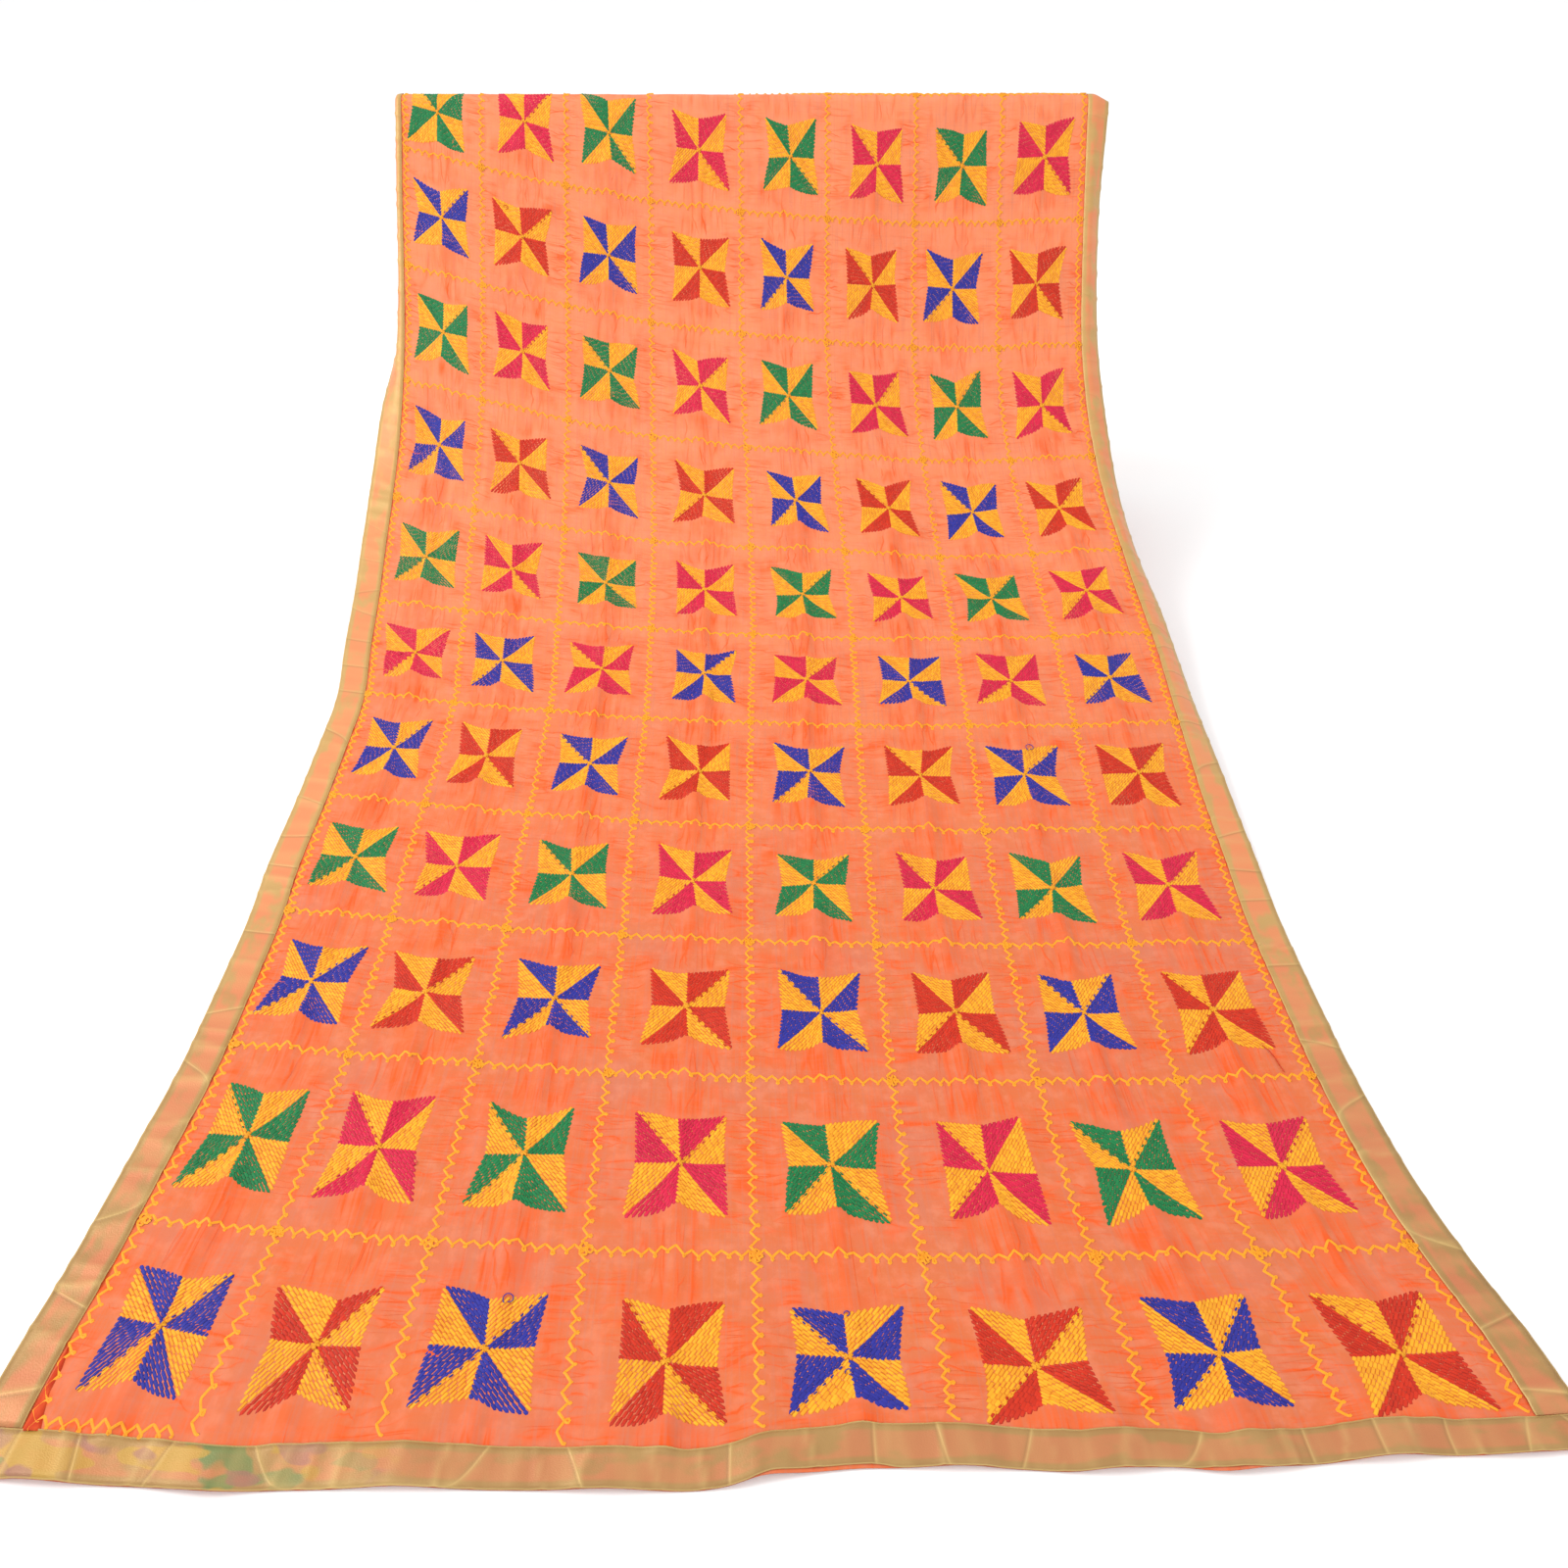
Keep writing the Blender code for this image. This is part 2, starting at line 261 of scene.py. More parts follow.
def plain_face(across, length):
    """The cloth's face without its puckers: the section is straight between the tapes, and each tape bends
    back evenly within its curl band, while the profile gives the height and distance of each reach."""
    reach = weft_reach(across, length)
    stations, y_line, z_line, slope_line = PROFILE
    y = np.interp(reach, stations, y_line)
    z = np.interp(reach, stations, z_line)
    slope = np.interp(reach, stations, slope_line)
    right = across > 0
    half = np.where(right, section_value("right", reach), section_value("left", reach)) / 1000
    curl = np.radians(np.where(right, section_value("curl_right", reach), section_value("curl_left", reach)))
    radius = CURL_BAND / np.maximum(curl, 1e-6)
    inside = np.minimum(np.abs(across), HALF_WIDTH)
    beyond = np.maximum(np.abs(across) - HALF_WIDTH, 0)
    turn = np.clip(beyond - CURL_START, 0, CURL_BAND) / radius
    rest = np.maximum(beyond - CURL_START - CURL_BAND, 0)
    out = np.minimum(beyond, CURL_START) + radius * np.sin(turn) + rest * np.cos(turn)
    back = radius * (1 - np.cos(turn)) + rest * np.sin(turn)
    x = section_value("centre", reach) / 1000 + np.where(right, 1, -1) * (inside * half / HALF_WIDTH + out)
    lift = fold_height(np.clip(across, -HALF_WIDTH, HALF_WIDTH), reach) - back
    return np.stack([x, y - lift * np.sin(slope), z + lift * np.cos(slope)], axis=-1)


def cell_of(across, length):
    """Column and row of the cell that holds each point, and the point's place from the motif's centre."""
    column = np.clip(np.searchsorted(CELL_LINES, across) - 1, 0, MOTIFS - 1)
    row = np.clip(np.rint((length - FIRST_ROW) / ROW_PITCH).astype(int), 0, ROWS - 1)
    return column, row, across - MOTIF_CENTRES[column], length - FIRST_ROW - ROW_PITCH * row


HANGING_ROW = 8                # from this row up the cloth hangs, and its ridges are low
# Least and most height of a ridge between two motifs and at one, where the cloth lies and then where it hangs
RIDGE_HEIGHTS = (((0.0022, 0.0050), (0.0006, 0.0016)), ((0.0004, 0.0018), (0.0001, 0.0006)))
RIDGE_SPREAD = 0.0062
RIDGE_SHIFT = 0.0035           # how far it may wander from its column's middle
HOLLOW_DEPTH = 0.22            # of the ridge's height, in the hollow on each side of it
HOLLOW_PLACE = 0.013
HOLLOW_SPREAD = 0.006


def column_ridges(across, length):
    """A ridge up the middle of every column: a bell across with a shallower bell taken off on each side.
    Its height and place change along it in smooth steps, low where stitches hold it and high between."""
    draw = np.random.default_rng(17)
    knots = FIRST_ROW + ROW_PITCH * np.arange(-1, 2 * ROWS + 1) / 2
    between = np.arange(len(knots)) % 2 == 0
    hanging = knots > FIRST_ROW + ROW_PITCH * (HANGING_ROW - 0.6)
    height = np.zeros(across.shape)
    lines = length[:, 0]
    for centre in MOTIF_CENTRES:
        high, low = (np.where(between, *[draw.uniform(*span, len(knots)) for span in spans])
                     for spans in RIDGE_HEIGHTS)
        top = np.where(hanging, low, high)
        place = centre + draw.uniform(-RIDGE_SHIFT, RIDGE_SHIFT, len(knots))
        step = (lines - knots[0]) / (ROW_PITCH / 2)
        first = np.clip(step.astype(int), 0, len(knots) - 2)
        share = smooth(step - first, 0, 1)
        line_top = top[first] * (1 - share) + top[first + 1] * share
        line_place = place[first] * (1 - share) + place[first + 1] * share
        off = across - line_place[:, None]
        hollow = HOLLOW_DEPTH * bell(np.abs(off) - HOLLOW_PLACE, HOLLOW_SPREAD)
        height += line_top[:, None] * (bell(off, RIDGE_SPREAD) - hollow)
    return height


PUCKERS = 4                    # short wrinkles at each side of a motif
# Least and most of their place, lean, spread and height, above and below a motif and then beside it
END_PUCKERS = ((-0.040, 0.040), (-0.40, 0.40), (0.0035, 0.0070), (-0.0011, 0.0013))
SIDE_PUCKERS = ((-0.042, 0.042), (-0.25, 0.25), (0.0028, 0.0055), (-0.0010, 0.0013))
HUMP_HEIGHTS = (0.0010, 0.0032)        # of the cloth that bulges up below each motif
HUMP_SHIFT = 0.004
HUMP_SPREAD = 0.0080


def puckers(across, length):
    """Height of the short wrinkles. Those above and below a motif run lengthwise, and those beside it run
    crosswise over the cell border to the next motif. Each is a bell with its own place, lean, size and
    spread, and below each motif is one broader hump."""
    draw = np.random.default_rng(11)
    column, row, du, dt = cell_of(across, length)
    height = np.zeros(across.shape)
    far_side = (dt > 0).astype(int)
    window = smooth(np.abs(dt), 0.030, 0.046) * (1 - smooth(np.abs(dt), 0.058, 0.078))
    for _ in range(PUCKERS):
        place, lean, spread, size = (draw.uniform(*span, (ROWS, MOTIFS, 2))[row, column, far_side]
                                     for span in END_PUCKERS)
        height += size * bell(du - place - lean * (np.abs(dt) - MOTIF_HALF_HEIGHT), spread) * window
    borders = (CELL_LINES[1:] + CELL_LINES[:-1]) / 2
    border = np.searchsorted(borders, across)
    from_border = across - CELL_LINES[border]
    window = 1 - smooth(np.abs(from_border), 0.012, 0.027)
    for _ in range(PUCKERS):
        place, lean, spread, size = (draw.uniform(*span, (ROWS, MOTIFS + 1))[row, border]
                                     for span in SIDE_PUCKERS)
        height += size * bell(dt - place - lean * from_border, spread) * window
    hump = draw.uniform(*HUMP_HEIGHTS, (ROWS, MOTIFS))[row, column]
    shift = draw.uniform(-HUMP_SHIFT, HUMP_SHIFT, (ROWS, MOTIFS))[row, column]
    window = smooth(-dt, 0.020, 0.034) * (1 - smooth(-dt, 0.042, 0.070))
    height += hump * bell(du - shift, HUMP_SPREAD) * window
    return height


MOTIF_RISE = 0.0007
MOTIF_SADDLES = (-0.0010, 0.0014)
MOTIF_CORNERS = (-0.0002, 0.0022)


def motif_warp(across, length):
    """The stitched motif is stiffer than the cloth. It rises a little, as a low saddle with its corners up:
    rise + saddle * (x^2 - y^2) + corner * x^2 y^2, faded out past its edge."""
    draw = np.random.default_rng(29)
    column, row, du, dt = cell_of(across, length)
    over = np.clip(du / MOTIF_HALF_WIDTH, -1.3, 1.3)
    up = np.clip(dt / MOTIF_HALF_HEIGHT, -1.3, 1.3)
    near = (1 - smooth(np.abs(over), 0.95, 1.3)) * (1 - smooth(np.abs(up), 0.95, 1.3))
    saddle = draw.uniform(*MOTIF_SADDLES, (ROWS, MOTIFS))[row, column]
    corner = draw.uniform(*MOTIF_CORNERS, (ROWS, MOTIFS, 2, 2))
    corner = corner[row, column, (du > 0).astype(int), (dt > 0).astype(int)]
    return (MOTIF_RISE + saddle * (over ** 2 - up ** 2) + corner * over ** 2 * up ** 2) * near


SWELLS = 6
SWELL_HEIGHT = 0.00045
SWELL_LENGTHS = (0.06, 0.15)


def undulation(across, length):
    """Low waves over the whole cloth: a sum of sines of unlike directions and lengths."""
    draw = np.random.default_rng(5)
    height = np.zeros(across.shape)
    for _ in range(SWELLS):
        angle, wave, phase = draw.uniform(0, np.pi), draw.uniform(*SWELL_LENGTHS), draw.uniform(0, 2 * np.pi)
        place = across * np.cos(angle) + length * np.sin(angle)
        height += SWELL_HEIGHT * np.sin(2 * np.pi * place / wave + phase)
    return height


def unit(vectors):
    """The same directions with a length of 1."""
    return vectors / np.maximum(np.linalg.norm(vectors, axis=-1, keepdims=True), 1e-12)


def grid_normals(points):
    """Unit normals of a grid of points, from the differences between its neighbours each way."""
    return unit(np.cross(np.gradient(points, axis=1), np.gradient(points, axis=0)))


def spaced(start, end, step):
    """Even places from start to end, about a step apart."""
    return np.linspace(start, end, max(2, int(round((end - start) / step)) + 1))


def cloth_columns():
    """Distances across the cloth: even between the tapes, close together where the tapes curl."""
    middle = spaced(-HALF_WIDTH, HALF_WIDTH, CLOTH_STEP)
    curl = HALF_WIDTH + CURL_START + np.linspace(0, CURL_BAND, CURL_STEPS)
    outer = np.concatenate([curl, spaced(curl[-1], HALF_WIDTH + TAPE_WIDTH, CLOTH_STEP)[1:]])
    return np.concatenate([-outer[::-1], middle, outer])


def cloth_rows():
    """Distances along the cloth: even, with a line at each end of its stretches, and closer over the rod."""
    bend_end = BEHIND_REACH + 0.045
    stretches = ((0, LAID_LENGTH, CLOTH_STEP), (LAID_LENGTH, RISING_LENGTH, CLOTH_STEP),
                 (RISING_LENGTH, bend_end, BEND_STEP), (bend_end, LENGTH, BEHIND_STEP))
    return np.concatenate([[0.0]] + [spaced(*stretch)[1:] for stretch in stretches])


COLUMNS = cloth_columns()
LENGTHS = cloth_rows()
ACROSS, ALONG = np.meshgrid(COLUMNS, LENGTHS)
REACH = weft_reach(ACROSS, ALONG)
PLAIN = plain_face(ACROSS, ALONG)
inside_tapes = 1 - smooth(np.abs(ACROSS), HALF_WIDTH - 0.012, HALF_WIDTH + 0.002)
inside_hems = smooth(ALONG, 0.012, 0.030) * (1 - smooth(ALONG, LENGTH - 0.030, LENGTH - 0.012))
RELIEF = (column_ridges(ACROSS, ALONG) + puckers(ACROSS, ALONG) + motif_warp(ACROSS, ALONG)) * inside_hems
RELIEF = (RELIEF + undulation(ACROSS, ALONG)) * inside_tapes
# Over the rod the cloth is pulled nearly smooth, and on the floor its hollows stop at the floor
taut = bell(REACH - (ROD_REACH + BEHIND_REACH) / 2, 0.05)
RELIEF = RELIEF * (1 - 0.8 * taut)
laid = 1 - smooth(REACH, 0.46, 0.62)
RELIEF = np.where(RELIEF < 0, RELIEF * (1 - laid) + laid * np.maximum(RELIEF * 0.4, -FLOOR_ROOM), RELIEF)
FACE = PLAIN + RELIEF[..., None] * grid_normals(PLAIN)
OUTWARD = grid_normals(FACE)


def cloth_value(values, across, length):
    """What an array over the cloth's mesh holds at any places, bilinear between the mesh's corners."""
    column = np.clip(np.interp(across, COLUMNS, np.arange(len(COLUMNS))), 0, len(COLUMNS) - 1.001)
    row = np.clip(np.interp(length, LENGTHS, np.arange(len(LENGTHS))), 0, len(LENGTHS) - 1.001)
    c, r = column.astype(int), row.astype(int)
    over, up = column - c, row - r
    if values.ndim == 3:
        over, up = over[..., None], up[..., None]
    near = values[r, c] * (1 - over) + values[r, c + 1] * over
    far = values[r + 1, c] * (1 - over) + values[r + 1, c + 1] * over
    return near * (1 - up) + far * up


def on_cloth(across, length, lift=0.0):
    """Points on the cloth, moved out by lift, and its normals there."""
    normal = unit(cloth_value(OUTWARD, across, length))
    return cloth_value(FACE, across, length) + np.asarray(lift)[..., None] * normal, normal


def wall_points(outer, normal, thickness):
    """The points of an outer grid, row by row, then those of an inner one that lies a thickness behind it."""
    return np.concatenate([outer.reshape(-1, 3), (outer - thickness * normal).reshape(-1, 3)])


def wall_faces(rows, columns):
    """Quads of the closed wall between two such grids: both sides and a rim."""
    count = rows * columns
    index = np.arange(count).reshape(rows, columns)
    outer = np.stack([index[:-1, :-1], index[:-1, 1:], index[1:, 1:], index[1:, :-1]], axis=-1).reshape(-1, 4)
    ring = np.concatenate([index[0, :-1], index[:-1, -1], index[-1, :0:-1], index[:0:-1, 0]])
    ahead = np.roll(ring, -1)
    rim = np.stack([ahead, ring, ring + count, ahead + count], axis=-1)
    return np.concatenate([outer, outer[:, ::-1] + count, rim])


def mesh_piece(name, points, faces, finish, uv=None, numbers=None, normals=None):
    """An object on the root body whose mesh has these points and these equal-sided faces. uv, numbers and
    normals are given per point."""
    mesh = bpy.data.meshes.new(name)
    faces = np.asarray(faces, np.int32)
    sides = faces.shape[1]
    mesh.vertices.add(len(points))
    mesh.vertices.foreach_set("co", np.asarray(points, np.float32).ravel())
    mesh.loops.add(faces.size)
    mesh.loops.foreach_set("vertex_index", faces.ravel())
    mesh.polygons.add(len(faces))
    mesh.polygons.foreach_set("loop_start", np.arange(0, faces.size, sides, dtype=np.int32))
    mesh.polygons.foreach_set("loop_total", np.full(len(faces), sides, np.int32))
    mesh.update(calc_edges=True)
    for label, values in (uv or {}).items():
        layer = mesh.uv_layers.new(name=label)
        layer.data.foreach_set("uv", np.asarray(values, np.float32)[faces.ravel()].ravel())
    for label, values in (numbers or {}).items():
        attribute = mesh.attributes.new(label, "FLOAT", "POINT")
        attribute.data.foreach_set("value", np.asarray(values, np.float32).ravel())
    mesh.shade_smooth()
    if normals is not None:
        mesh.normals_split_custom_set_from_vertices(normals)
    mesh.materials.append(finish)
    piece = bpy.data.objects.new(name, mesh)
    bpy.context.scene.collection.objects.link(piece)
    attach(piece, "root")
    return piece


STUDIO_LIGHT = 1.28             # how much more light falls on the cloth than makes white paper white


def dye(red, green, blue):
    """The linear colour of a dye that is seen in the studio's light as these three numbers from 0 to 255."""
    share = np.array((red, green, blue)) / 255
    linear = np.where(share <= 0.04045, share / 12.92, ((share + 0.055) / 1.055) ** 2.4) / STUDIO_LIGHT
    return (*(float(value) for value in linear), 1.0)


class Finish:
    """A material that is being made: its shader, and short ways to add nodes to it."""

    def __init__(self, name, roughness, **constants):
        self.material = bpy.data.materials.new(name)
        self.material.use_nodes = True
        self.tree = self.material.node_tree
        self.shader = self.tree.nodes["Principled BSDF"]
        self.shader.inputs["Roughness"].default_value = roughness
        for socket, value in constants.items():
            self.shader.inputs[socket.replace("_", " ")].default_value = value

    def put(self, node, socket, value):
        """Link a node's output to a socket, or set the socket to a constant."""
        if isinstance(value, bpy.types.NodeSocket):
            self.tree.links.new(value, node.inputs[socket])
        else:
            node.inputs[socket].default_value = value

    def node(self, kind, output=0, settings=None, **sockets):
        """A new node with these settings and sockets, as the output that is asked for."""
        node = self.tree.nodes.new(kind)
        for name, value in (settings or {}).items():
            setattr(node, name, value)
        for socket, value in sockets.items():
            self.put(node, socket.replace("_", " "), value)
        return node.outputs[output]

    def math(self, operation, *values):
        node = self.tree.nodes.new("ShaderNodeMath")
        node.operation = operation
        for place, value in enumerate(values):
            self.put(node, place, value)
        return node.outputs[0]

    def attribute(self, name):
        return self.node("ShaderNodeAttribute", "Fac", {"attribute_name": name})

    def uv(self, name, scale=(1, 1, 1), shift=(0, 0, 0)):
        source = self.node("ShaderNodeUVMap", 0, {"uv_map": name})
        return self.node("ShaderNodeMapping", Vector=source, Scale=scale, Location=shift)

    def noise(self, vector, scale=1.0, detail=2.0, roughness=0.5, distortion=0.0):
        return self.node("ShaderNodeTexNoise", "Fac", Vector=vector, Scale=scale, Detail=detail,
                         Roughness=roughness, Distortion=distortion)

    def stretched(self, name, scale, detail=2.0, shift=(0, 0, 0), roughness=0.5, distortion=0.0):
        """Noise over a UV map, with this many patches to each unit of the map both ways."""
        return self.noise(self.uv(name, scale, shift), 1.0, detail, roughness, distortion)

    def times(self, first, second):
        return self.math("MULTIPLY", first, second)

    def add(self, first, second):
        return self.math("ADD", first, second)

    def off_middle(self, share):
        """How far a share from 0 to 1 is from its middle: |2 s - 1|."""
        return self.math("ABSOLUTE", self.math("MULTIPLY_ADD", share, 2.0, -1.0))

    def step(self, value, low, high):
        """0 below low to 1 above high, smoothly."""
        node = self.tree.nodes.new("ShaderNodeMapRange")
        node.interpolation_type = "SMOOTHSTEP"
        for socket, number in (("Value", value), ("From Min", low), ("From Max", high)):
            self.put(node, socket, number)
        return node.outputs[0]

    def ridge(self, value, sharpness):
        """1 where a noise crosses its middle value, falling off on both sides: (1 - |2n - 1|) to a power."""
        return self.math("POWER", self.math("SUBTRACT", 1.0, self.off_middle(value)), sharpness)

    def mix(self, share, first, second):
        """The first colour where share is 0, the second where it is 1."""
        node = self.tree.nodes.new("ShaderNodeMix")
        node.data_type = "RGBA"
        for place, value in ((0, share), (6, first), (7, second)):
            self.put(node, place, value)
        return node.outputs[2]

    def colour(self, value):
        self.put(self.shader, "Base Color", value)

    def bump(self, height, distance, strength=1.0):
        node = self.tree.nodes.new("ShaderNodeBump")
        self.put(node, "Height", height)
        node.inputs["Distance"].default_value = distance
        node.inputs["Strength"].default_value = strength
        self.tree.links.new(node.outputs[0], self.shader.inputs["Normal"])


def muslin():
    """Sheer orange cotton, painted paler where it rises and hangs: painted light. Where it is gathered in
    fine creases it is doubled and a denser orange; where it is open it is paler and a little grey. Creases
    are ridges of stretched noise, crosswise beside the motifs and lengthwise above and below them. The warp
    and the weft show as fine streaks."""
    cloth = Finish("orange_muslin", 0.9, Sheen_Weight=0.08, Sheen_Roughness=0.4, Specular_IOR_Level=0.15)
    low, high, dense, grey = dye(226, 122, 76), dye(255, 153, 107), dye(250, 98, 38), dye(214, 130, 104)
    thin = cloth.step(cloth.noise(cloth.uv("flat"), 13.0, 3.0), 0.40, 0.75)
    # Darker where the cloth lies near the hem and paler where it rises and hangs: painted light
    base = cloth.mix(cloth.attribute("raised"), low, high)
    base = cloth.mix(cloth.times(thin, cloth.attribute("sheer")), base, grey)
    mottle = cloth.step(cloth.noise(cloth.uv("flat"), 75.0, 4.0, 0.6), 0.42, 0.68)
    base = cloth.mix(cloth.times(mottle, 0.34), base, dye(246, 160, 128))

    def creases(scale, shift):
        """Wavering lines in patches, this many to a metre each way."""
        line = cloth.ridge(cloth.stretched("flat", scale, 1.0, (shift, shift, 0), 0.45, 0.35), 15.0)
        patch = cloth.stretched("flat", (30, 30, 1), 1.0, (shift, 0, 0))
        return cloth.times(line, cloth.step(patch, 0.36, 0.62))

    crosswise = cloth.add(creases((13, 66, 1), 3.1), cloth.times(creases((22, 150, 1), 7.7), 0.8))
    lengthwise = cloth.add(creases((58, 6, 1), 5.3), cloth.times(creases((110, 11, 1), 1.9), 0.7))
    lines = cloth.add(cloth.times(crosswise, cloth.attribute("beside")),
                      cloth.times(lengthwise, cloth.attribute("above")))
    soft = cloth.ridge(cloth.stretched("flat", (22, 16, 1), 1.0, (9.0, 4.0, 0)), 5.0)
    share = cloth.math("MULTIPLY_ADD", lines, 0.75, cloth.times(soft, 0.12))
    share = cloth.times(share, cloth.math("MULTIPLY_ADD", cloth.attribute("raised"), -0.35, 1.0))
    share = cloth.math("MINIMUM", cloth.add(share, cloth.attribute("gathered")), 0.92)
    base = cloth.mix(share, base, dense)
    warp, weft = (cloth.stretched("flat", scale, 3.0) for scale in ((460, 12, 1), (12, 460, 1)))
    streaks = cloth.math("MULTIPLY_ADD", cloth.step(weft, 0.50, 0.70), 0.5, cloth.step(warp, 0.48, 0.68))
    cloth.colour(cloth.mix(cloth.times(streaks, 0.34), base, grey))
    weave = cloth.times(cloth.add(warp, weft), 0.25)
    cloth.bump(cloth.add(weave, cloth.times(lines, 0.5)), 0.0007)
    return cloth.material


FULL_BEND = 0.0012             # the bend of the mesh where the cloth counts as fully gathered
GATHERED_SHARE = 0.42
TURNING_SHARE = 0.40           # the hem's turning lies double beside the side tapes
TURNING_EDGE = (0.4360, 0.4440)

du, dt = cell_of(ACROSS, ALONG)[2:]
bend = sum(np.abs(np.gradient(np.gradient(RELIEF, axis=way), axis=way)) for way in (0, 1))
LOOKS = {
    "beside": smooth(np.abs(du), 0.024, 0.038) * (1 - smooth(np.abs(dt), 0.046, 0.072)),
    "above": smooth(np.abs(dt), 0.032, 0.048) * (1 - smooth(np.abs(du), 0.020, 0.044)),
    "gathered": (np.clip(bend / FULL_BEND, 0, 1) * GATHERED_SHARE
                 + TURNING_SHARE * smooth(np.abs(ACROSS), *TURNING_EDGE)),
    "sheer": 0.30 + 0.50 * laid,       # on the floor its pale grey shows through more
    # raised: how far the cloth has risen; the finish paints it paler there as painted light, and thins its
    # creases
    "raised": smooth(REACH, 0.25, 1.25),
}
muslin_finish = muslin()


def ground_piece(name, start, end, node):
    """One stretch of the cloth as a closed thin wall, with the whole cloth's normals, so no seam shows."""
    rows = slice(np.searchsorted(LENGTHS, start - 1e-6), np.searchsorted(LENGTHS, end + 1e-6))
    points = wall_points(FACE[rows], OUTWARD[rows], CLOTH_THICKNESS)
    normal = OUTWARD[rows].reshape(-1, 3)
    flat = np.stack([ACROSS[rows], ALONG[rows]], -1).reshape(-1, 2)
    numbers = {label: np.tile(values[rows].ravel(), 2) for label, values in LOOKS.items()}
    piece = mesh_piece(name, points, wall_faces(*ACROSS[rows].shape), muslin_finish,
                       {"flat": np.tile(flat, (2, 1))}, numbers, np.concatenate([normal, -normal]))
    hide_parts(node)
    return piece


ground_laid = ground_piece("ground_laid", 0.0, LAID_LENGTH, "cloth_laid")
ground_rising = ground_piece("ground_rising", LAID_LENGTH, RISING_LENGTH, "cloth_rising")
ground_behind = ground_piece("ground_behind", RISING_LENGTH, LENGTH, "cloth_behind")


# The pinched creases
# Where the stitches draw the muslin up, it is pinched into narrow doubled creases of a denser orange,
# unsteady and pressed low. Most cross a cell border from one motif towards the next. A few run up or down
# from a motif.

# The near row's are listed one by one. border: which cell border they cross. place: mm up from the row's
# middle.
# start, end: mm across from the border. rise: mm up from start to end. width: mm. depth: 0 to 1.
CREASE_COLUMNS = ("border", "place", "start", "end", "rise", "width", "depth")
CREASES = (
    (0, 20, 6, 16, -4, 2.0, 0.6), (0, -14, 2, 18, 5, 2.0, 0.5), (0, -48, 10, 34, 5, 4.5, 0.7),
    (1, 0, -26, 2, -9, 3.2, 1.0), (1, 14, -12, 10, -4, 2.0, 0.6), (1, 28, 2, 14, 4, 2.0, 0.6),
    (1, -34, -30, -8, -5, 2.0, 0.6), (1, -18, -14, 6, 3, 2.0, 0.5), (2, 18, -20, -2, 3, 2.0, 0.6),
    (2, 0, 2, 27, -1, 3.2, 1.0), (2, 11, 6, 24, 3, 2.0, 0.6), (2, -25, -30, -8, -3, 2.4, 0.8),
    (2, -37, -30, -16, -2, 2.4, 0.7), (2, -12, 4, 22, 3, 2.0, 0.5), (3, 12, 0, 14, -10, 2.4, 0.8),
    (3, 0, -2, 18, -2, 2.2, 0.7), (3, -20, -2, 14, -1, 2.4, 0.7), (3, -27, 2, 14, 0, 2.0, 0.5),
    (4, 7, -27, 2, 11, 2.8, 1.0), (4, 8, 2, 20, -4, 2.0, 0.7), (4, -2, 2, 27, 2, 2.0, 0.6),
    (4, -12, -22, -5, 3, 2.0, 0.6), (4, -24, -22, -5, 5, 2.4, 0.8), (4, 12, -24, -8, 6, 2.0, 0.6),
    (4, -27, 4, 25, 2, 2.4, 0.7), (4, 24, 2, 23, 2, 1.8, 0.4), (5, 10, -27, -9, -1, 3.0, 0.9),
    (5, 0, -22, 0, 2, 2.0, 0.6), (5, -1, -2, 25, -5, 2.6, 0.9), (5, -22, -20, -4, -6, 2.4, 0.7),
    (5, 56, -27, -9, 1, 2.0, 0.7), (5, 54, 2, 18, 4, 2.0, 0.6), (5, -32, -9, 4, 0, 2.2, 0.7),
    (6, 6, -25, 2, -4, 2.4, 0.8), (6, -5, -23, 4, 4, 2.4, 0.8), (6, -4, 4, 28, 4, 2.0, 0.6),
    (6, -18, -19, 1, -3, 2.6, 0.8), (6, -30, -12, 5, -3, 2.4, 0.7), (6, -16, 5, 28, 4, 2.2, 0.6),
    (6, 20, -25, -4, -5, 2.0, 0.6), (6, 32, -6, 10, -3, 1.8, 0.5), (7, 10, -32, 0, 0, 2.2, 0.7),
    (7, 3, -34, 20, -1, 2.2, 0.6), (7, -5, -27, 3, 3, 2.4, 0.8), (7, -12, -18, 5, 3, 2.0, 0.6),
    (7, -24, -20, 3, -3, 2.4, 0.7), (7, 24, -40, -9, -6, 2.2, 0.7), (7, -4, 4, 30, -3, 2.0, 0.6),
    (7, 13, 2, 20, -5, 2.0, 0.6), (8, -4, -36, -6, -2, 2.0, 0.6), (8, -14, -30, -2, -5, 2.0, 0.6),
    (8, 8, -40, -14, -5, 2.0, 0.5),
)
CREASE_POINTS = 7
CREASE_HEIGHT = 0.30           # of its width, where it is deepest
CREASE_WAVES = ((0.0011, 1.0), (0.00055, 2.3))        # size and turns of the two waves in a crease
BORDER_CREASES = (6, 12)       # at each border of a row: at least the first number, fewer than the second
BORDER_WIDTHS = (0.0016, 0.0028)
BORDER_DEPTHS = (0.45, 1.0)
FINE_ROW = 5                   # from this row up they are finer
FINE_WIDTH = 0.9
END_WIDTHS = (0.0018, 0.0036)
END_DEPTHS = (0.2, 0.7)


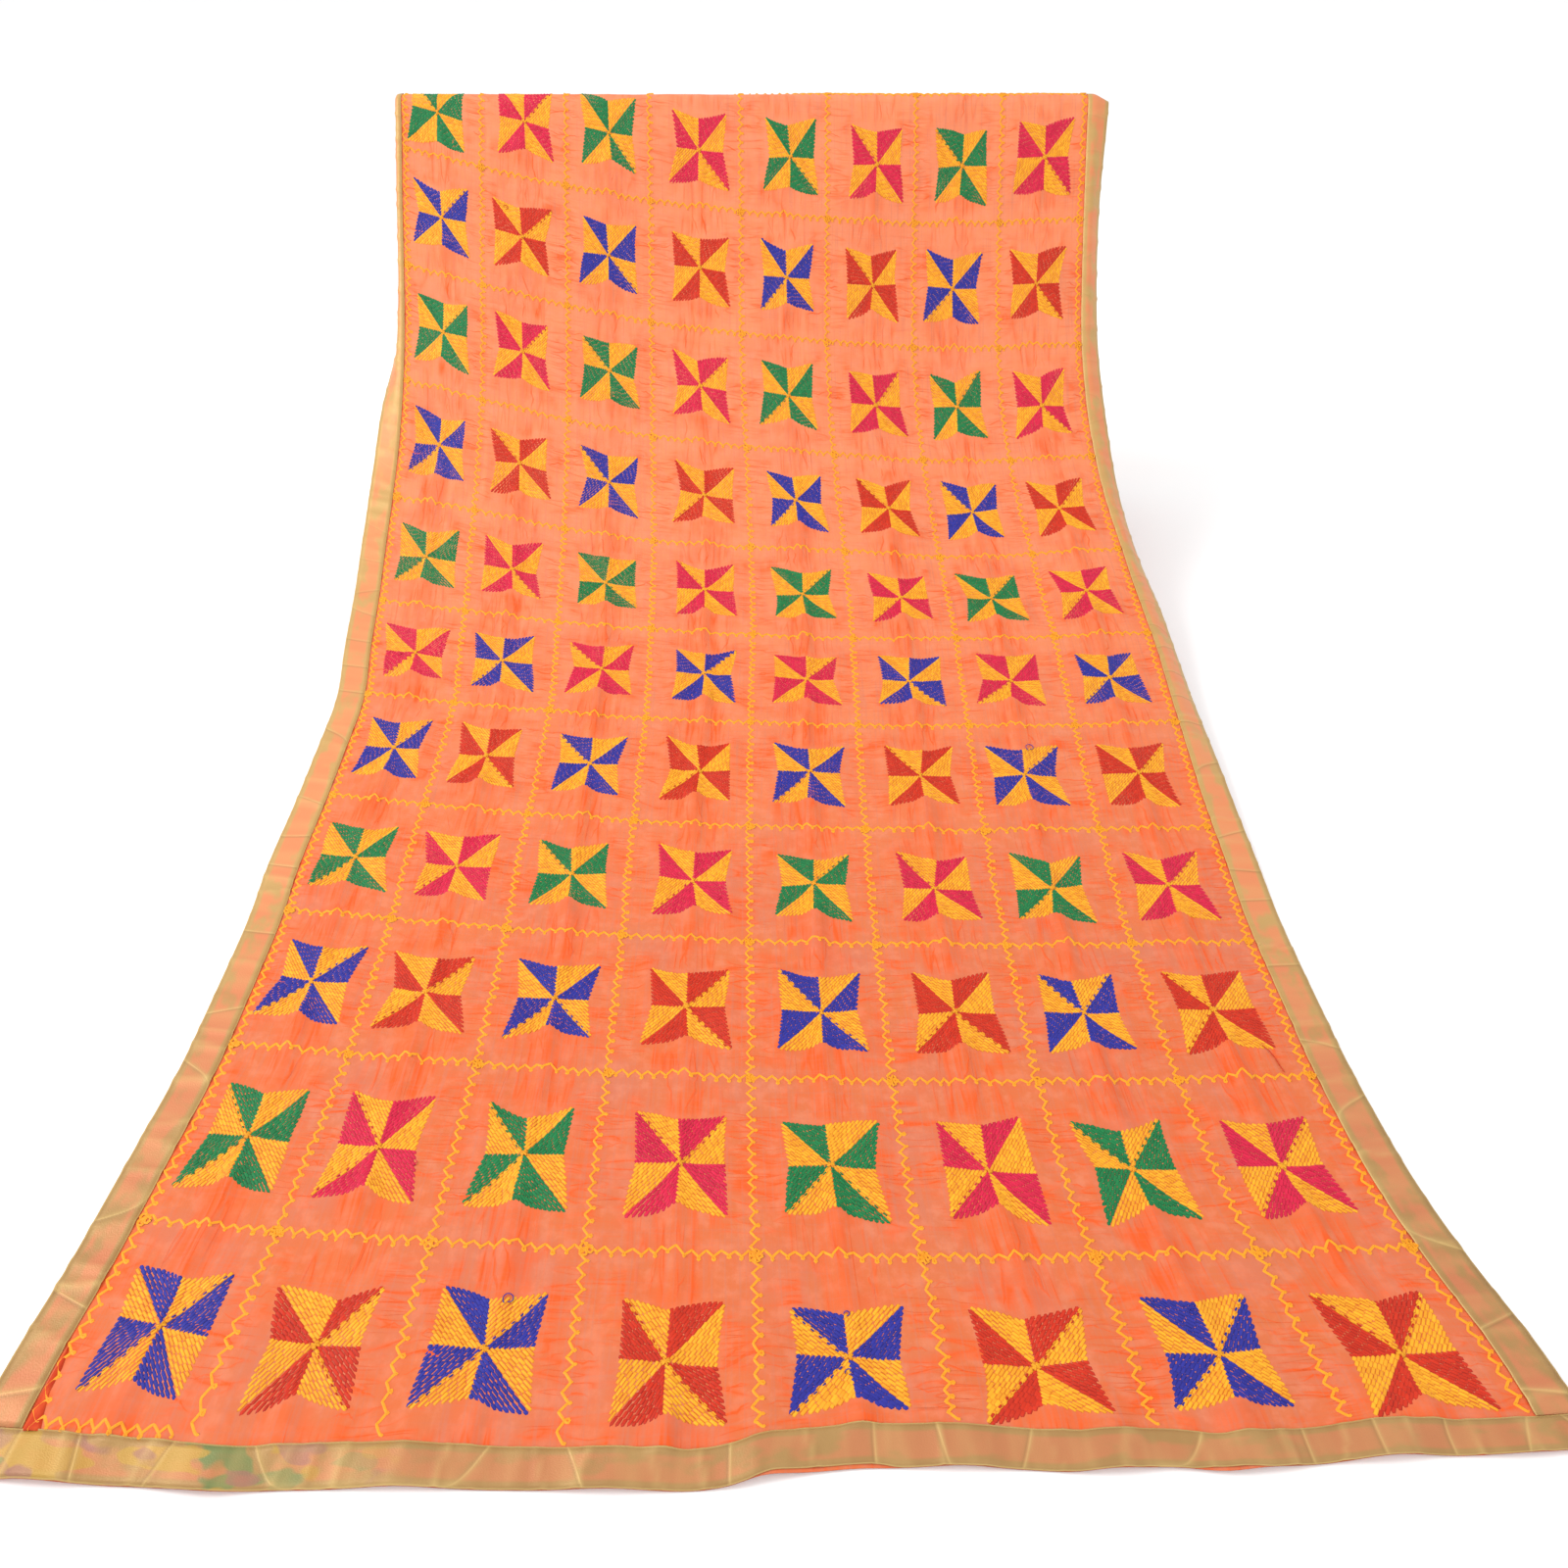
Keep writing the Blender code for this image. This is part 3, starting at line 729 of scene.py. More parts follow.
def crease_ends():
    """Start, end, width and depth of every crease: the near row's as listed, and for each other row's borders
    some of the same kind by lot, with a few lengthwise ones above and below each motif."""
    draw = np.random.default_rng(61)
    rows = []
    for crease in CREASES:
        values = dict(zip(CREASE_COLUMNS, crease))
        start, end = values["start"] / 1000, values["end"] / 1000
        across, length = CELL_LINES[values["border"]], FIRST_ROW + values["place"] / 1000
        slope = values["rise"] / 1000 / (end - start)
        rows.append((across + start, length + slope * start, across + end, length + slope * end,
                     values["width"] / 1000, values["depth"]))
    for row in range(1, ROWS):
        middle = FIRST_ROW + ROW_PITCH * row
        fine = FINE_WIDTH if row >= FINE_ROW else 1.0
        for border, line in enumerate(CELL_LINES):
            for _ in range(draw.integers(*BORDER_CREASES)):
                start, end = draw.uniform(-0.030, -0.002), draw.uniform(0.002, 0.030)
                start, end = ((start, end), (start, start / 8), (end / 8, end))[draw.integers(3)]
                place, slope = middle + draw.uniform(-0.042, 0.042), draw.normal(0, 0.16)
                start = max(start, -0.004) if border == 0 else start
                end = min(end, 0.004) if border == MOTIFS else end
                rows.append((line + start, place + slope * start, line + end, place + slope * end,
                             draw.uniform(*BORDER_WIDTHS) * fine, draw.uniform(*BORDER_DEPTHS)))
    for row in range(ROWS):
        for centre in MOTIF_CENTRES:
            for way in (-1, 1, 1):
                near, far = draw.uniform(0.040, 0.047), draw.uniform(0.058, 0.085)
                place, lean = centre + draw.uniform(-0.022, 0.022), draw.uniform(-0.3, 0.3)
                middle = FIRST_ROW + ROW_PITCH * row
                if row == 0 and way < 0:
                    continue
                rows.append((place, middle + way * near, place + lean * (far - near), middle + way * far,
                             draw.uniform(*END_WIDTHS), draw.uniform(*END_DEPTHS)))
    return np.array(rows)


def crease_piece(name, rows, seed):
    """Creases as low ridges, with two feet in the cloth and a crest. Width and height taper to both ends as
    the square root of sin(pi s), and the line wavers as a sum of two sines."""
    draw = np.random.default_rng(seed)
    count = len(rows)
    share = np.linspace(0, 1, CREASE_POINTS)[None, :]
    start, end, width, depth = rows[:, None, 0:2], rows[:, None, 2:4], rows[:, 4:5], rows[:, 5:6]
    run = end - start
    span = np.linalg.norm(run, axis=-1, keepdims=True)
    side = np.stack([-run[..., 1], run[..., 0]], -1) / span
    waver = 0
    for size, turns in CREASE_WAVES:
        rate, phase = draw.uniform(0.6, 1.4, (count, 1)), draw.uniform(0, 1, (count, 1))
        waver = waver + size * np.sin(2 * np.pi * (rate * turns * share + phase))
    line = start + share[..., None] * run + waver[..., None] * side
    taper = np.sqrt(np.sin(np.pi * np.clip(share, 0.02, 0.98)))
    wide = (width * taper)[..., None]
    places = np.stack([line + across * wide * side for across in (-0.5, 0.1, 0.5)], axis=2)
    crest = np.array((0.0, 1.0, 0.0))
    lift = (CREASE_HEIGHT * width * depth * taper)[..., None] * crest - 0.0001
    u, t = places[..., 0], places[..., 1]
    points, normal = on_cloth(u, t, lift)
    across = unit(points[:, :, 2] - points[:, :, 0])
    normal = unit(normal + np.array((-0.5, 0.0, 0.5))[:, None] * across[:, :, None])
    index = np.arange(count * CREASE_POINTS * 3).reshape(count, CREASE_POINTS, 3)
    faces = np.stack([index[:, :-1, :-1], index[:, 1:, :-1], index[:, 1:, 1:], index[:, :-1, 1:]], axis=-1)
    numbers = {label: cloth_value(values, u, t) for label, values in LOOKS.items()}
    numbers["gathered"] = numbers["gathered"] + (depth * np.sqrt(taper))[..., None] * crest
    mesh_piece(name, points.reshape(-1, 3), faces.reshape(-1, 4), muslin_finish,
               {"flat": np.stack([u, t], -1).reshape(-1, 2)}, numbers, normal.reshape(-1, 3))


crease_piece("ground_creases", crease_ends(), seed=62)


# The border tapes
# Ribbons of gold tissue, woven of metal thread over a thin orange warp, sewn on the face round all four
# sides. The cloth shows through between two dense gold bands, and small tucks cross them where the sewing
# drew them up.
TAPE_LIFT = 0.0007
TAPE_THICKNESS = 0.0003
TAPE_STEP = 0.0034
TAPE_GAP = 0.0003              # from a side tape's end to the tape across it
TUCK_HEIGHT = 0.0012
TUCK_PITCHES = (0.010, 0.042)
TUCK_SPREADS = (0.0022, 0.0046)
# Places across where the near tape has slipped up, so that the cloth's edge peeps out below it
SLIPS = ((-0.020, 0.052), (0.232, 0.262))
SLIP_RISE = 0.0022
SLIP_FADE = 0.02


def tucks(run, share, seed):
    """Height of the tucks across a tape: narrow bells at uneven places, leaning, bent and unlike in size."""
    draw = np.random.default_rng(seed)
    places = np.cumsum(draw.uniform(*TUCK_PITCHES, 90))
    places = places[places < run.max()]
    height = np.zeros(run.shape)
    for place in places:
        lean, bow, size = draw.uniform(-0.008, 0.008), draw.uniform(-0.006, 0.006), draw.uniform(0.25, 1.0)
        line = place + lean * (share - 0.5) + bow * (share - 0.5) ** 2
        height += size * bell(run - line, draw.uniform(*TUCK_SPREADS))
    return height


def gold_tissue():
    """Gold tissue: dense gold at both edges, a pale gold selvedge line, and a thin middle where the orange
    shows, in uneven lengths. It is painted paler where it rises and hangs: painted light. Tucks and fine
    creases across it carry painted highlights, broad soft bands of painted light cross it, and each crease
    has a painted shadow beside it. Where the tape is tinted, floss under it shows through."""
    tape = Finish("gold_tissue", 0.45, Metallic=0.15, Specular_IOR_Level=0.3)
    # Pale gold: the selvedge's own colour, and the colour of the painted highlights on tucks, creases and
    # folds
    highlight_and_selvedge_gold = dye(232, 196, 124)
    # Darker near the hem and paler where the tape rises and hangs: painted light
    gold, thin = (tape.mix(tape.attribute("raised"), low, high) for low, high in
                  ((dye(176, 134, 80), dye(208, 164, 98)), (dye(212, 128, 86), dye(242, 146, 96))))
    across = tape.node("ShaderNodeSeparateXYZ", "X", Vector=tape.uv("ribbon"))
    inner = tape.math("SUBTRACT", 1.0, tape.off_middle(across))
    cloud = tape.stretched("ribbon", (1.1, 26.0, 1), 3.0)
    open_part = tape.times(tape.step(inner, 0.26, 0.46), tape.step(cloud, 0.37, 0.53))
    open_part = tape.times(open_part, tape.math("MULTIPLY_ADD", tape.attribute("open"), 0.90, 0.05))
    base = tape.mix(open_part, gold, thin)
    for shift, tint in ((2.0, dye(100, 136, 80)), (5.0, dye(196, 152, 58)), (8.0, dye(160, 106, 98))):
        patch = tape.step(tape.stretched("ribbon", (1.0, 21.0, 1), 2.0, (shift, shift, 0)), 0.55, 0.585)
        base = tape.mix(tape.times(patch, tape.attribute("tinted")), base, tint)
    # Broad soft bands of painted light across the tape, where its wide folds catch the light
    shade = tape.step(tape.stretched("ribbon", (0.25, 48.0, 1)), 0.35, 0.70)
    creases = (tape.stretched("ribbon", (0.12, 12.0, 1), 0.0, (3.0, shift, 0)) for shift in (0.0, 0.021))
    line, shadow = (tape.times(tape.ridge(crease, 90.0), tape.attribute("creased")) for crease in creases)
    base = tape.mix(tape.times(shadow, 0.55), base, dye(136, 96, 54))
    # Painted highlights: a bright line on each crease, the broad bands, and the crest of each tuck
    glint = tape.math("MULTIPLY_ADD", line, 0.50, tape.times(shade, 0.18))
    shine = tape.math("MULTIPLY_ADD", tape.attribute("tuck"), 0.5, glint)
    base = tape.mix(tape.math("MINIMUM", shine, 0.8), base, highlight_and_selvedge_gold)
    selvedge = tape.math("SUBTRACT", 1.0, tape.step(inner, 0.03, 0.09))
    tape.colour(tape.mix(tape.times(selvedge, 0.6), base, highlight_and_selvedge_gold))
    weave = tape.stretched("ribbon", (40.0, 900.0, 1), 1.0)
    tape.bump(tape.add(tape.times(weave, 0.4), glint), 0.0005)
    return tape.material


tissue = gold_tissue()


def tape_piece(node, across, along, share, run, shown, seed):
    """A tape on a grid of places on the cloth, as a closed wall. share: 0 to 1 over its width. run: metres
    along it. shown: how much of the orange shows through."""
    tuck = tucks(run, share, seed)
    outer, normal = on_cloth(across, along, TAPE_LIFT + TUCK_HEIGHT * tuck)
    uv = np.tile(np.stack([share, run], -1).reshape(-1, 2), (2, 1))
    creased = 1 - 0.8 * smooth(along, 0.70, 1.15)     # the raised part hangs smooth
    # tuck marks the tucks' crests for painted highlights, and raised makes the tape paler as it rises:
    # painted light
    numbers = {"tuck": np.clip(tuck - 0.4, 0, 1) * creased, "creased": creased,
               "raised": smooth(along, 0.10, 0.60), "open": np.broadcast_to(shown, run.shape),
               "tinted": 0.75 * (1 - smooth(across, -0.30, -0.18)) * (along < END_TAPE_WIDTH + 1e-6)}
    numbers = {label: np.tile(values.ravel(), 2) for label, values in numbers.items()}
    piece = mesh_piece(node + "_tissue", wall_points(outer, normal, TAPE_THICKNESS),
                       wall_faces(*across.shape), tissue, {"ribbon": uv}, numbers)
    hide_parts(node)
    return piece


side_lengths = spaced(END_TAPE_WIDTH + TAPE_GAP, LENGTH - END_TAPE_WIDTH - TAPE_GAP, TAPE_STEP)
for node, side, waist, seed in (("tape_left", -1, 0.9, 21), ("tape_right", 1, 0.95, 22)):
    across, along = np.meshgrid(np.sort(side * COLUMNS[COLUMNS > HALF_WIDTH - 1e-6]), side_lengths)
    share = (np.abs(across) - HALF_WIDTH) / TAPE_WIDTH
    shown = np.interp(along, (0.5, 0.9, 1.2), (1.0, waist, 1.0))
    tape_piece(node, across, along, share, along, shown, seed)
end_columns = spaced(-HALF_WIDTH - TAPE_WIDTH, HALF_WIDTH + TAPE_WIDTH, TAPE_STEP)
for node, start, seed in (("tape_near_end", 0.0, 23), ("tape_far_end", LENGTH - END_TAPE_WIDTH, 24)):
    across, share = np.meshgrid(end_columns, np.linspace(0, 1, 8))
    slip = sum(SLIP_RISE * smooth(across, low, low + SLIP_FADE) * (1 - smooth(across, high, high + SLIP_FADE))
               * (1 - share) for low, high in SLIPS)
    along = start + END_TAPE_WIDTH * share + slip * (start == 0)
    tape_piece(node, across, along, share, across + HALF_WIDTH, 0.7, seed)


# The pinwheels
# Each motif is eight triangles of untwisted floss, gold and one colour in turn. They are filled by hand with
# short satin stitches, in rows that lie along the quadrant's own diagonal. A small cross is sewn over the
# middle, and some of the diagonals are picked out in dashes of both colours.
STITCH_ROW = 0.00235           # from one row of stitches to the next
STITCH_LENGTH = 0.0058
STITCH_WIDTH = 0.0029
STITCH_HEIGHT = 0.0008
STITCH_SHORTEST = 0.0020
STITCH_OVERLAP = 0.0007        # each end runs on under its neighbour
STITCH_LEAN = 0.0004           # and sits this far to one side
NOTCH_SIDE = 0.13              # how far the middles of the sides, the top and the bottom are drawn in
NOTCH_TOP = 0.19
NOTCH_BOTTOM = 0.23
HAND_WOBBLE = 0.0019
# Least and most that a triangle's outer side is bulged out, anticlockwise from the right middle
PLAIN_SIDE, TOP_SIDE, BOTTOM_SIDE = (-0.0008, 0.0008), (-0.001, 0.0025), (0.0005, 0.0034)
SIDE_BULGES = (PLAIN_SIDE, TOP_SIDE, TOP_SIDE, PLAIN_SIDE, PLAIN_SIDE, BOTTOM_SIDE, BOTTOM_SIDE, PLAIN_SIDE)
SEAM_CUTS = np.linspace(0.06, 0.98, 14)[:, None]       # where its dashes end, as shares of the diagonal
SEAM_SHIFT = 0.0012            # a seam's coloured dashes lie this far over on the gold side
SPOKES = 6                     # of the cross over a motif's middle
SPOKE_LENGTH = 0.0036
NEAR_ROW_WIDTHS = (0.90, 0.95, 0.97, 0.98, 0.98, 1.00, 0.99, 1.00)
NEAR_ROW_HEIGHTS = (0.87, 0.87, 0.88, 0.92, 0.83, 0.85, 0.91, 0.95)
# Some motifs were sewn off the middle of their cells: by row, mm across and along for each column
SEWN_OFF = {
    0: ((3.4, 6.6), (3.9, 1.4), (-2.2, 6.0), (-1.8, 0.7), (-3.9, 4.6), (-4.7, 0.7), (-0.5, 5.3), (3.4, -0.7)),
    1: ((0, -5),) * MOTIFS,
    2: ((0, -4),) * MOTIFS,
    3: ((0, -1.5),) * MOTIFS,
    10: ((-4, -20), (5, -7), (1, -3), (0, -7), (5, -6), (5, -9), (9, -9), (6, -1)),
}

# The two colours of each row's motifs, in turn
FLOSS_PAIRS = (("blue red", "green magenta") * 2 + ("blue red", "magenta blue")
               + ("green magenta", "blue red") * 4)
# Each floss's own colour, then a deeper one for each stitch's own depth of colour and for the painted shade
# at its ends and sides
FLOSS_COLOURS = {
    "gold": (dye(267, 192, 40), dye(212, 98, 10)),
    "green": (dye(28, 138, 76), dye(8, 84, 44)),
    "magenta": (dye(238, 34, 78), dye(170, 14, 48)),
    "blue": (dye(50, 54, 168), dye(28, 26, 114)),
    "red": (dye(228, 54, 22), dye(162, 28, 10)),
}


def floss(name, light, deep):
    """Untwisted floss: each stitch has its own depth of colour, and painted shade darkens its ends and sides
    where it dives into the cloth. Fine filaments run along it, and it has a soft gloss."""
    thread = Finish(name, 0.5, Specular_IOR_Level=0.25)
    separate = thread.node("ShaderNodeSeparateXYZ", "X", Vector=thread.uv("strand")).node
    end, side = (thread.off_middle(separate.outputs[way]) for way in "XY")
    # Ends and sides mix towards the deep colour: painted shade where the stitch dives into the cloth
    end = thread.times(thread.step(end, 0.55, 1.0), 0.8)
    edge = thread.math("MAXIMUM", end, thread.step(side, 0.38, 0.92))
    share = thread.math("MULTIPLY_ADD", thread.attribute("shade"), 0.36, thread.times(edge, 0.85))
    thread.colour(thread.mix(thread.math("MINIMUM", share, 1.0), light, deep))
    thread.bump(thread.stretched("strand", (1.5, 16.0, 1)), 0.0002)
    return thread.material


FLOSS = {name: floss(name + "_floss", *colours) for name, colours in FLOSS_COLOURS.items()}


def motif_outline(draw, size):
    """The motif's centre, corners and mid-sides, anticlockwise from the right middle, as a hand drew them."""
    w, h = MOTIF_HALF_WIDTH * size[0], MOTIF_HALF_HEIGHT * size[1]
    top, bottom = h * (1 - NOTCH_TOP), -h * (1 - NOTCH_BOTTOM)
    ring = np.array([(w * (1 - NOTCH_SIDE), 0), (w, h), (0, top), (-w, h),
                     (-w * (1 - NOTCH_SIDE), 0), (-w * 1.03, -h), (0, bottom), (w * 1.03, -h)])
    wobble = np.clip(draw.normal(0, HAND_WOBBLE, (8, 2)), -0.004, 0.004)
    return draw.normal(0, HAND_WOBBLE / 2, 2), ring + wobble


def triangle_stitches(centre, corner, middle, bulge, draw):
    """Rows of stitches parallel to the line from centre to corner, clipped by the other two sides. A row at
    a share f of the triangle's height runs from centre + f (middle - centre) to corner + f (middle - corner),
    and its end is moved out by bulge times 4 f (1 - f)."""
    diagonal, edge = corner - centre, middle - corner
    outward = np.array((edge[1], -edge[0])) / np.hypot(*edge)
    outward *= np.sign(outward @ (corner - centre))
    base = middle - centre
    height = abs(diagonal[0] * base[1] - diagonal[1] * base[0]) / np.hypot(*diagonal)
    rows = max(2, int(round((height + 0.8 * max(bulge, 0)) / STITCH_ROW)))
    starts, ends = [], []
    for number in range(rows):
        share = (number + 0.5) / rows
        first = centre + share * base
        last = corner + share * edge + bulge * 4 * share * (1 - share) * outward
        span = np.hypot(*(last - first))
        run = (last - first) / span
        count = max(1, int(round(span / STITCH_LENGTH)))
        cuts = (np.arange(-1, count + 1) + draw.uniform()) / count
        cuts = cuts + draw.uniform(-0.16, 0.16, len(cuts)) / count
        cuts = cuts[(cuts * span > STITCH_SHORTEST) & ((1 - cuts) * span > STITCH_SHORTEST)]
        cuts = np.unique(np.concatenate([[0.0], cuts, [1.0]]))
        side = STITCH_LEAN * np.array((-run[1], run[0]))
        starts.append(first + cuts[:-1, None] * (last - first) - STITCH_OVERLAP * run - side)
        ends.append(first + cuts[1:, None] * (last - first) + STITCH_OVERLAP * run + side)
    return np.concatenate(starts), np.concatenate(ends)


def floss_piece(name, thread, starts, ends, seed, width=STITCH_WIDTH, height=STITCH_HEIGHT, lift=0.0):
    """Stitches of one thread, each a grain with a six-sided foot in the cloth and two crest points. Each
    point is a share along the stitch, a share of its width to the side, and a share of its height. Where the
    cloth is skewed its rows open or close as its stitches shorten or lengthen, and the stitches spread to
    fill them: width * flat length / real length."""
    form = np.array([(0.0, 0.0, 0.00), (0.20, 0.5, -0.15), (0.80, 0.5, -0.15), (1.0, 0.0, 0.00),
                     (0.80, -0.5, -0.15), (0.20, -0.5, -0.15), (0.28, 0.0, 1.0), (0.72, 0.0, 1.0)])
    faces = np.array([(0, 6, 1), (0, 5, 6), (3, 2, 7), (3, 7, 4), (1, 6, 7), (1, 7, 2), (5, 4, 7), (5, 7, 6)])
    draw = np.random.default_rng(seed)
    count = len(starts)
    place = starts[:, None] + form[None, :, :1] * (ends - starts)[:, None]
    points, normals = on_cloth(place[..., 0], place[..., 1], lift)
    run = points[:, 3] - points[:, 0]
    side = np.cross(normals[:, 6], unit(run))
    flat, real = np.linalg.norm(ends - starts, axis=-1), np.linalg.norm(run, axis=-1)
    spread = np.clip(flat / real, 0.85, 1.3)[:, None, None]
    wide = width * spread * draw.uniform(0.90, 1.12, (count, 1, 1))
    tall = height * draw.uniform(0.75, 1.15, (count, 1, 1))
    points = points + form[None, :, 1:2] * wide * side[:, None] + form[None, :, 2:3] * tall * normals
    index = (faces[None] + 8 * np.arange(count)[:, None, None]).reshape(-1, 3)
    uv = np.broadcast_to(form[None, :, :2] + (0, 0.5), (count, 8, 2)).reshape(-1, 2)
    shade = np.repeat(draw.uniform(0, 1, count), 8)
    mesh_piece(name, points.reshape(-1, 3), index, FLOSS[thread], {"strand": uv},
               {"shade": shade})


def against_drift(places):
    """Places on the cloth with the near hem's drift taken off again, so that it stretches nothing sewn."""
    across, length = places[:, 0], places[:, 1]
    return np.stack([across, length - hem_drift(across, length - hem_drift(across, length))], -1)


stitches, seams = {}, {}
cross_starts, cross_ends = [], []
draw = np.random.default_rng(3)
for row in range(ROWS):
    for column, across in enumerate(MOTIF_CENTRES):
        size = (NEAR_ROW_WIDTHS[column], NEAR_ROW_HEIGHTS[column]) if row == 0 else (1.0, 1.0)
        middle, ring = motif_outline(draw, size)
        place = np.array((across, FIRST_ROW + ROW_PITCH * row))
        if row in SEWN_OFF:
            place += np.array(SEWN_OFF[row][column]) / 1000
        colour = FLOSS_PAIRS[row].split()[column % 2]
        for part in range(8):
            one, two = ring[part], ring[(part + 1) % 8]
            corner, side = (two, one) if part % 2 == 0 else (one, two)
            coloured = (part % 2 == 0) == (column % 2 == 0)
            thread = colour if coloured else "gold"
            bulge = draw.uniform(*SIDE_BULGES[part])
            pair = triangle_stitches(place + middle, place + corner, place + side, bulge, draw)
            stitches.setdefault((thread, row < ROWS // 2), []).append(pair)
        for corner in draw.choice((1, 3, 5, 7), 2 if row < 3 else 1, replace=False):
            run = ring[corner] - middle
            line = place + middle + SEAM_CUTS * run
            seams.setdefault("gold", []).append((line[:-1:2], line[1::2]))
            gold_side = (1 if column % 2 == 0 else -1) * np.array((-run[1], run[0])) / np.hypot(*run)
            line = line + SEAM_SHIFT * gold_side
            seams.setdefault(colour, []).append((line[1:-1:2], line[2::2]))
        angles = draw.uniform(0, np.pi, SPOKES)
        spoke = SPOKE_LENGTH * np.stack([np.cos(angles), np.sin(angles)], -1)
        cross_starts.append(place + middle - spoke)
        cross_ends.append(place + middle + spoke)

for (thread, near), pairs in sorted(stitches.items()):
    starts, ends = (against_drift(np.concatenate(places)) for places in zip(*pairs))
    floss_piece(f"pinwheel_{thread}_{'near' if near else 'far'}", thread, starts, ends, seed=31)
floss_piece("pinwheel_centres", "gold", np.concatenate(cross_starts), np.concatenate(cross_ends), seed=32,
            width=0.0016, height=0.0012, lift=0.0007)
for thread, pairs in sorted(seams.items()):
    starts, ends = (against_drift(np.concatenate(places)) for places in zip(*pairs))
    floss_piece(f"pinwheel_seams_{thread}", thread, starts, ends, seed=33,
                width=0.0013, height=0.0009, lift=0.0004)


# The couched zigzags
# A doubled yellow thread is laid in zigzags along every cell border and caught down at each turn, where it
# makes a small loop. Where two borders cross it is wound into a knot.
ZIGZAG_WAVE = 0.0100
ZIGZAG_REACH = 0.0033          # from the line to a turn
ZIGZAG_SWING = (0.0004, 0.0022)   # how much further the thread swings back at the turns of one side
ZIGZAG_NIP = 0.0010            # how far it is nipped in at every turn
THREAD_RADIUS = 0.00092
WAVE_POINTS = 12
HEM_INSET = END_TAPE_WIDTH + 0.003
SHORT_LINE = 0.085             # one more, along the near tape from the left corner
# A crosswise line is pushed up where it crosses the ridge of each column
PUSHES = (0.0005, 0.0048)
PUSH_SHIFT = 0.006
PUSH_SPREAD = 0.011
KNOT_RADII = (0.0036, 0.0054)
KNOT_SHIFT = 0.001
KNOT_POINTS = 22
KNOT_LIFT = 0.0009


def zigzag(start, end, draw):
    """A zigzag between two places that loops at its turns on one side: along it by
    wave * turn / 2 pi - swing * sin(turn) - nip * sin(2 turn), and to the side by -reach * cos(turn). Each
    wave has its own reach and swing, and the whole line is a little unsteady."""
    start, end = np.array(start), np.array(end)
    span = np.hypot(*(end - start))
    run = (end - start) / span
    side = np.array((-run[1], run[0]))
    waves = max(1, int(round(span / ZIGZAG_WAVE)))
    turn = np.linspace(0, 2 * np.pi * waves, waves * WAVE_POINTS + 1)
    count = np.arange(waves + 1) * 2 * np.pi
    reach = ZIGZAG_REACH * np.interp(turn, count, draw.uniform(0.72, 1.18, waves + 1))
    swing = np.interp(turn, count, draw.uniform(*ZIGZAG_SWING, waves + 1))
    drift = np.interp(turn, count, draw.normal(0, 0.0005, waves + 1))
    slip = np.interp(turn, count, draw.normal(0, 0.0008, waves + 1))
    along = span / waves * turn / (2 * np.pi) - swing * np.sin(turn) - ZIGZAG_NIP * np.sin(2 * turn) + slip
    return start + along[:, None] * run + (drift - reach * np.cos(turn))[:, None] * side


def winding(centre, radius, petals, points):
    """A closed path that winds round a centre at radius * (0.55 + 0.45 cos(petals * angle / 2))."""
    angle = np.linspace(0, 4 * np.pi, points)
    distance = radius * (0.55 + 0.45 * np.cos(petals * angle / 2))
    return np.array(centre) + distance[:, None] * np.stack([np.cos(angle), np.sin(angle)], -1)


def thread_piece(name, finish, paths, radius, seed, lift=None):
    """Three-sided threads along paths on the cloth, one side down, closed at both ends and shaded as round.
    Those with no lift lie with their feet in the cloth and need no side below."""
    draw = np.random.default_rng(seed)
    points, normals, faces, uvs, shades, count = [], [], [], [], [], 0
    for path in paths:
        middle, normal = on_cloth(path[:, 0], path[:, 1], radius * 0.5 if lift is None else lift)
        side = unit(np.cross(unit(np.gradient(middle, axis=0)), normal))
        angles = np.radians((90, 210, 330))
        ring = np.cos(angles)[None, :, None] * side[:, None] + np.sin(angles)[None, :, None] * normal[:, None]
        points.append((middle[:, None] + 1.15 * radius * ring).reshape(-1, 3))
        normals.append((ring + normal[:, None] * np.array((0.6, 2.0, 2.0))[:, None]).reshape(-1, 3))
        i = 3 * np.arange(len(path) - 1)[:, None] + count
        k, l = np.array(((0, 1), (2, 0)) if lift is None else ((0, 1), (1, 2), (2, 0))).T
        quads = np.stack([i + k, i + 3 + k, i + 3 + l, i + l], -1).reshape(-1, 4)
        last = count + 3 * (len(path) - 1)
        caps = [(count, count + 1, count + 2), (last + 2, last + 1, last)]
        faces += [quads[:, :3], quads[:, [0, 2, 3]], np.array(caps)]
        twist = np.repeat(np.arange(len(path)) / 4, 3) % 1 * 0.4 + 0.3
        uvs.append(np.stack([twist, np.tile((0.5, 0.7, 0.3), len(path))], -1))
        shades.append(np.repeat(draw.uniform(0, 0.8, len(path)), 3))
        count += 3 * len(path)
    points, faces, normals, uvs, shades = map(np.concatenate, (points, faces, normals, uvs, shades))
    mesh_piece(name, points, faces, finish, {"strand": uvs}, {"shade": shades}, unit(normals))


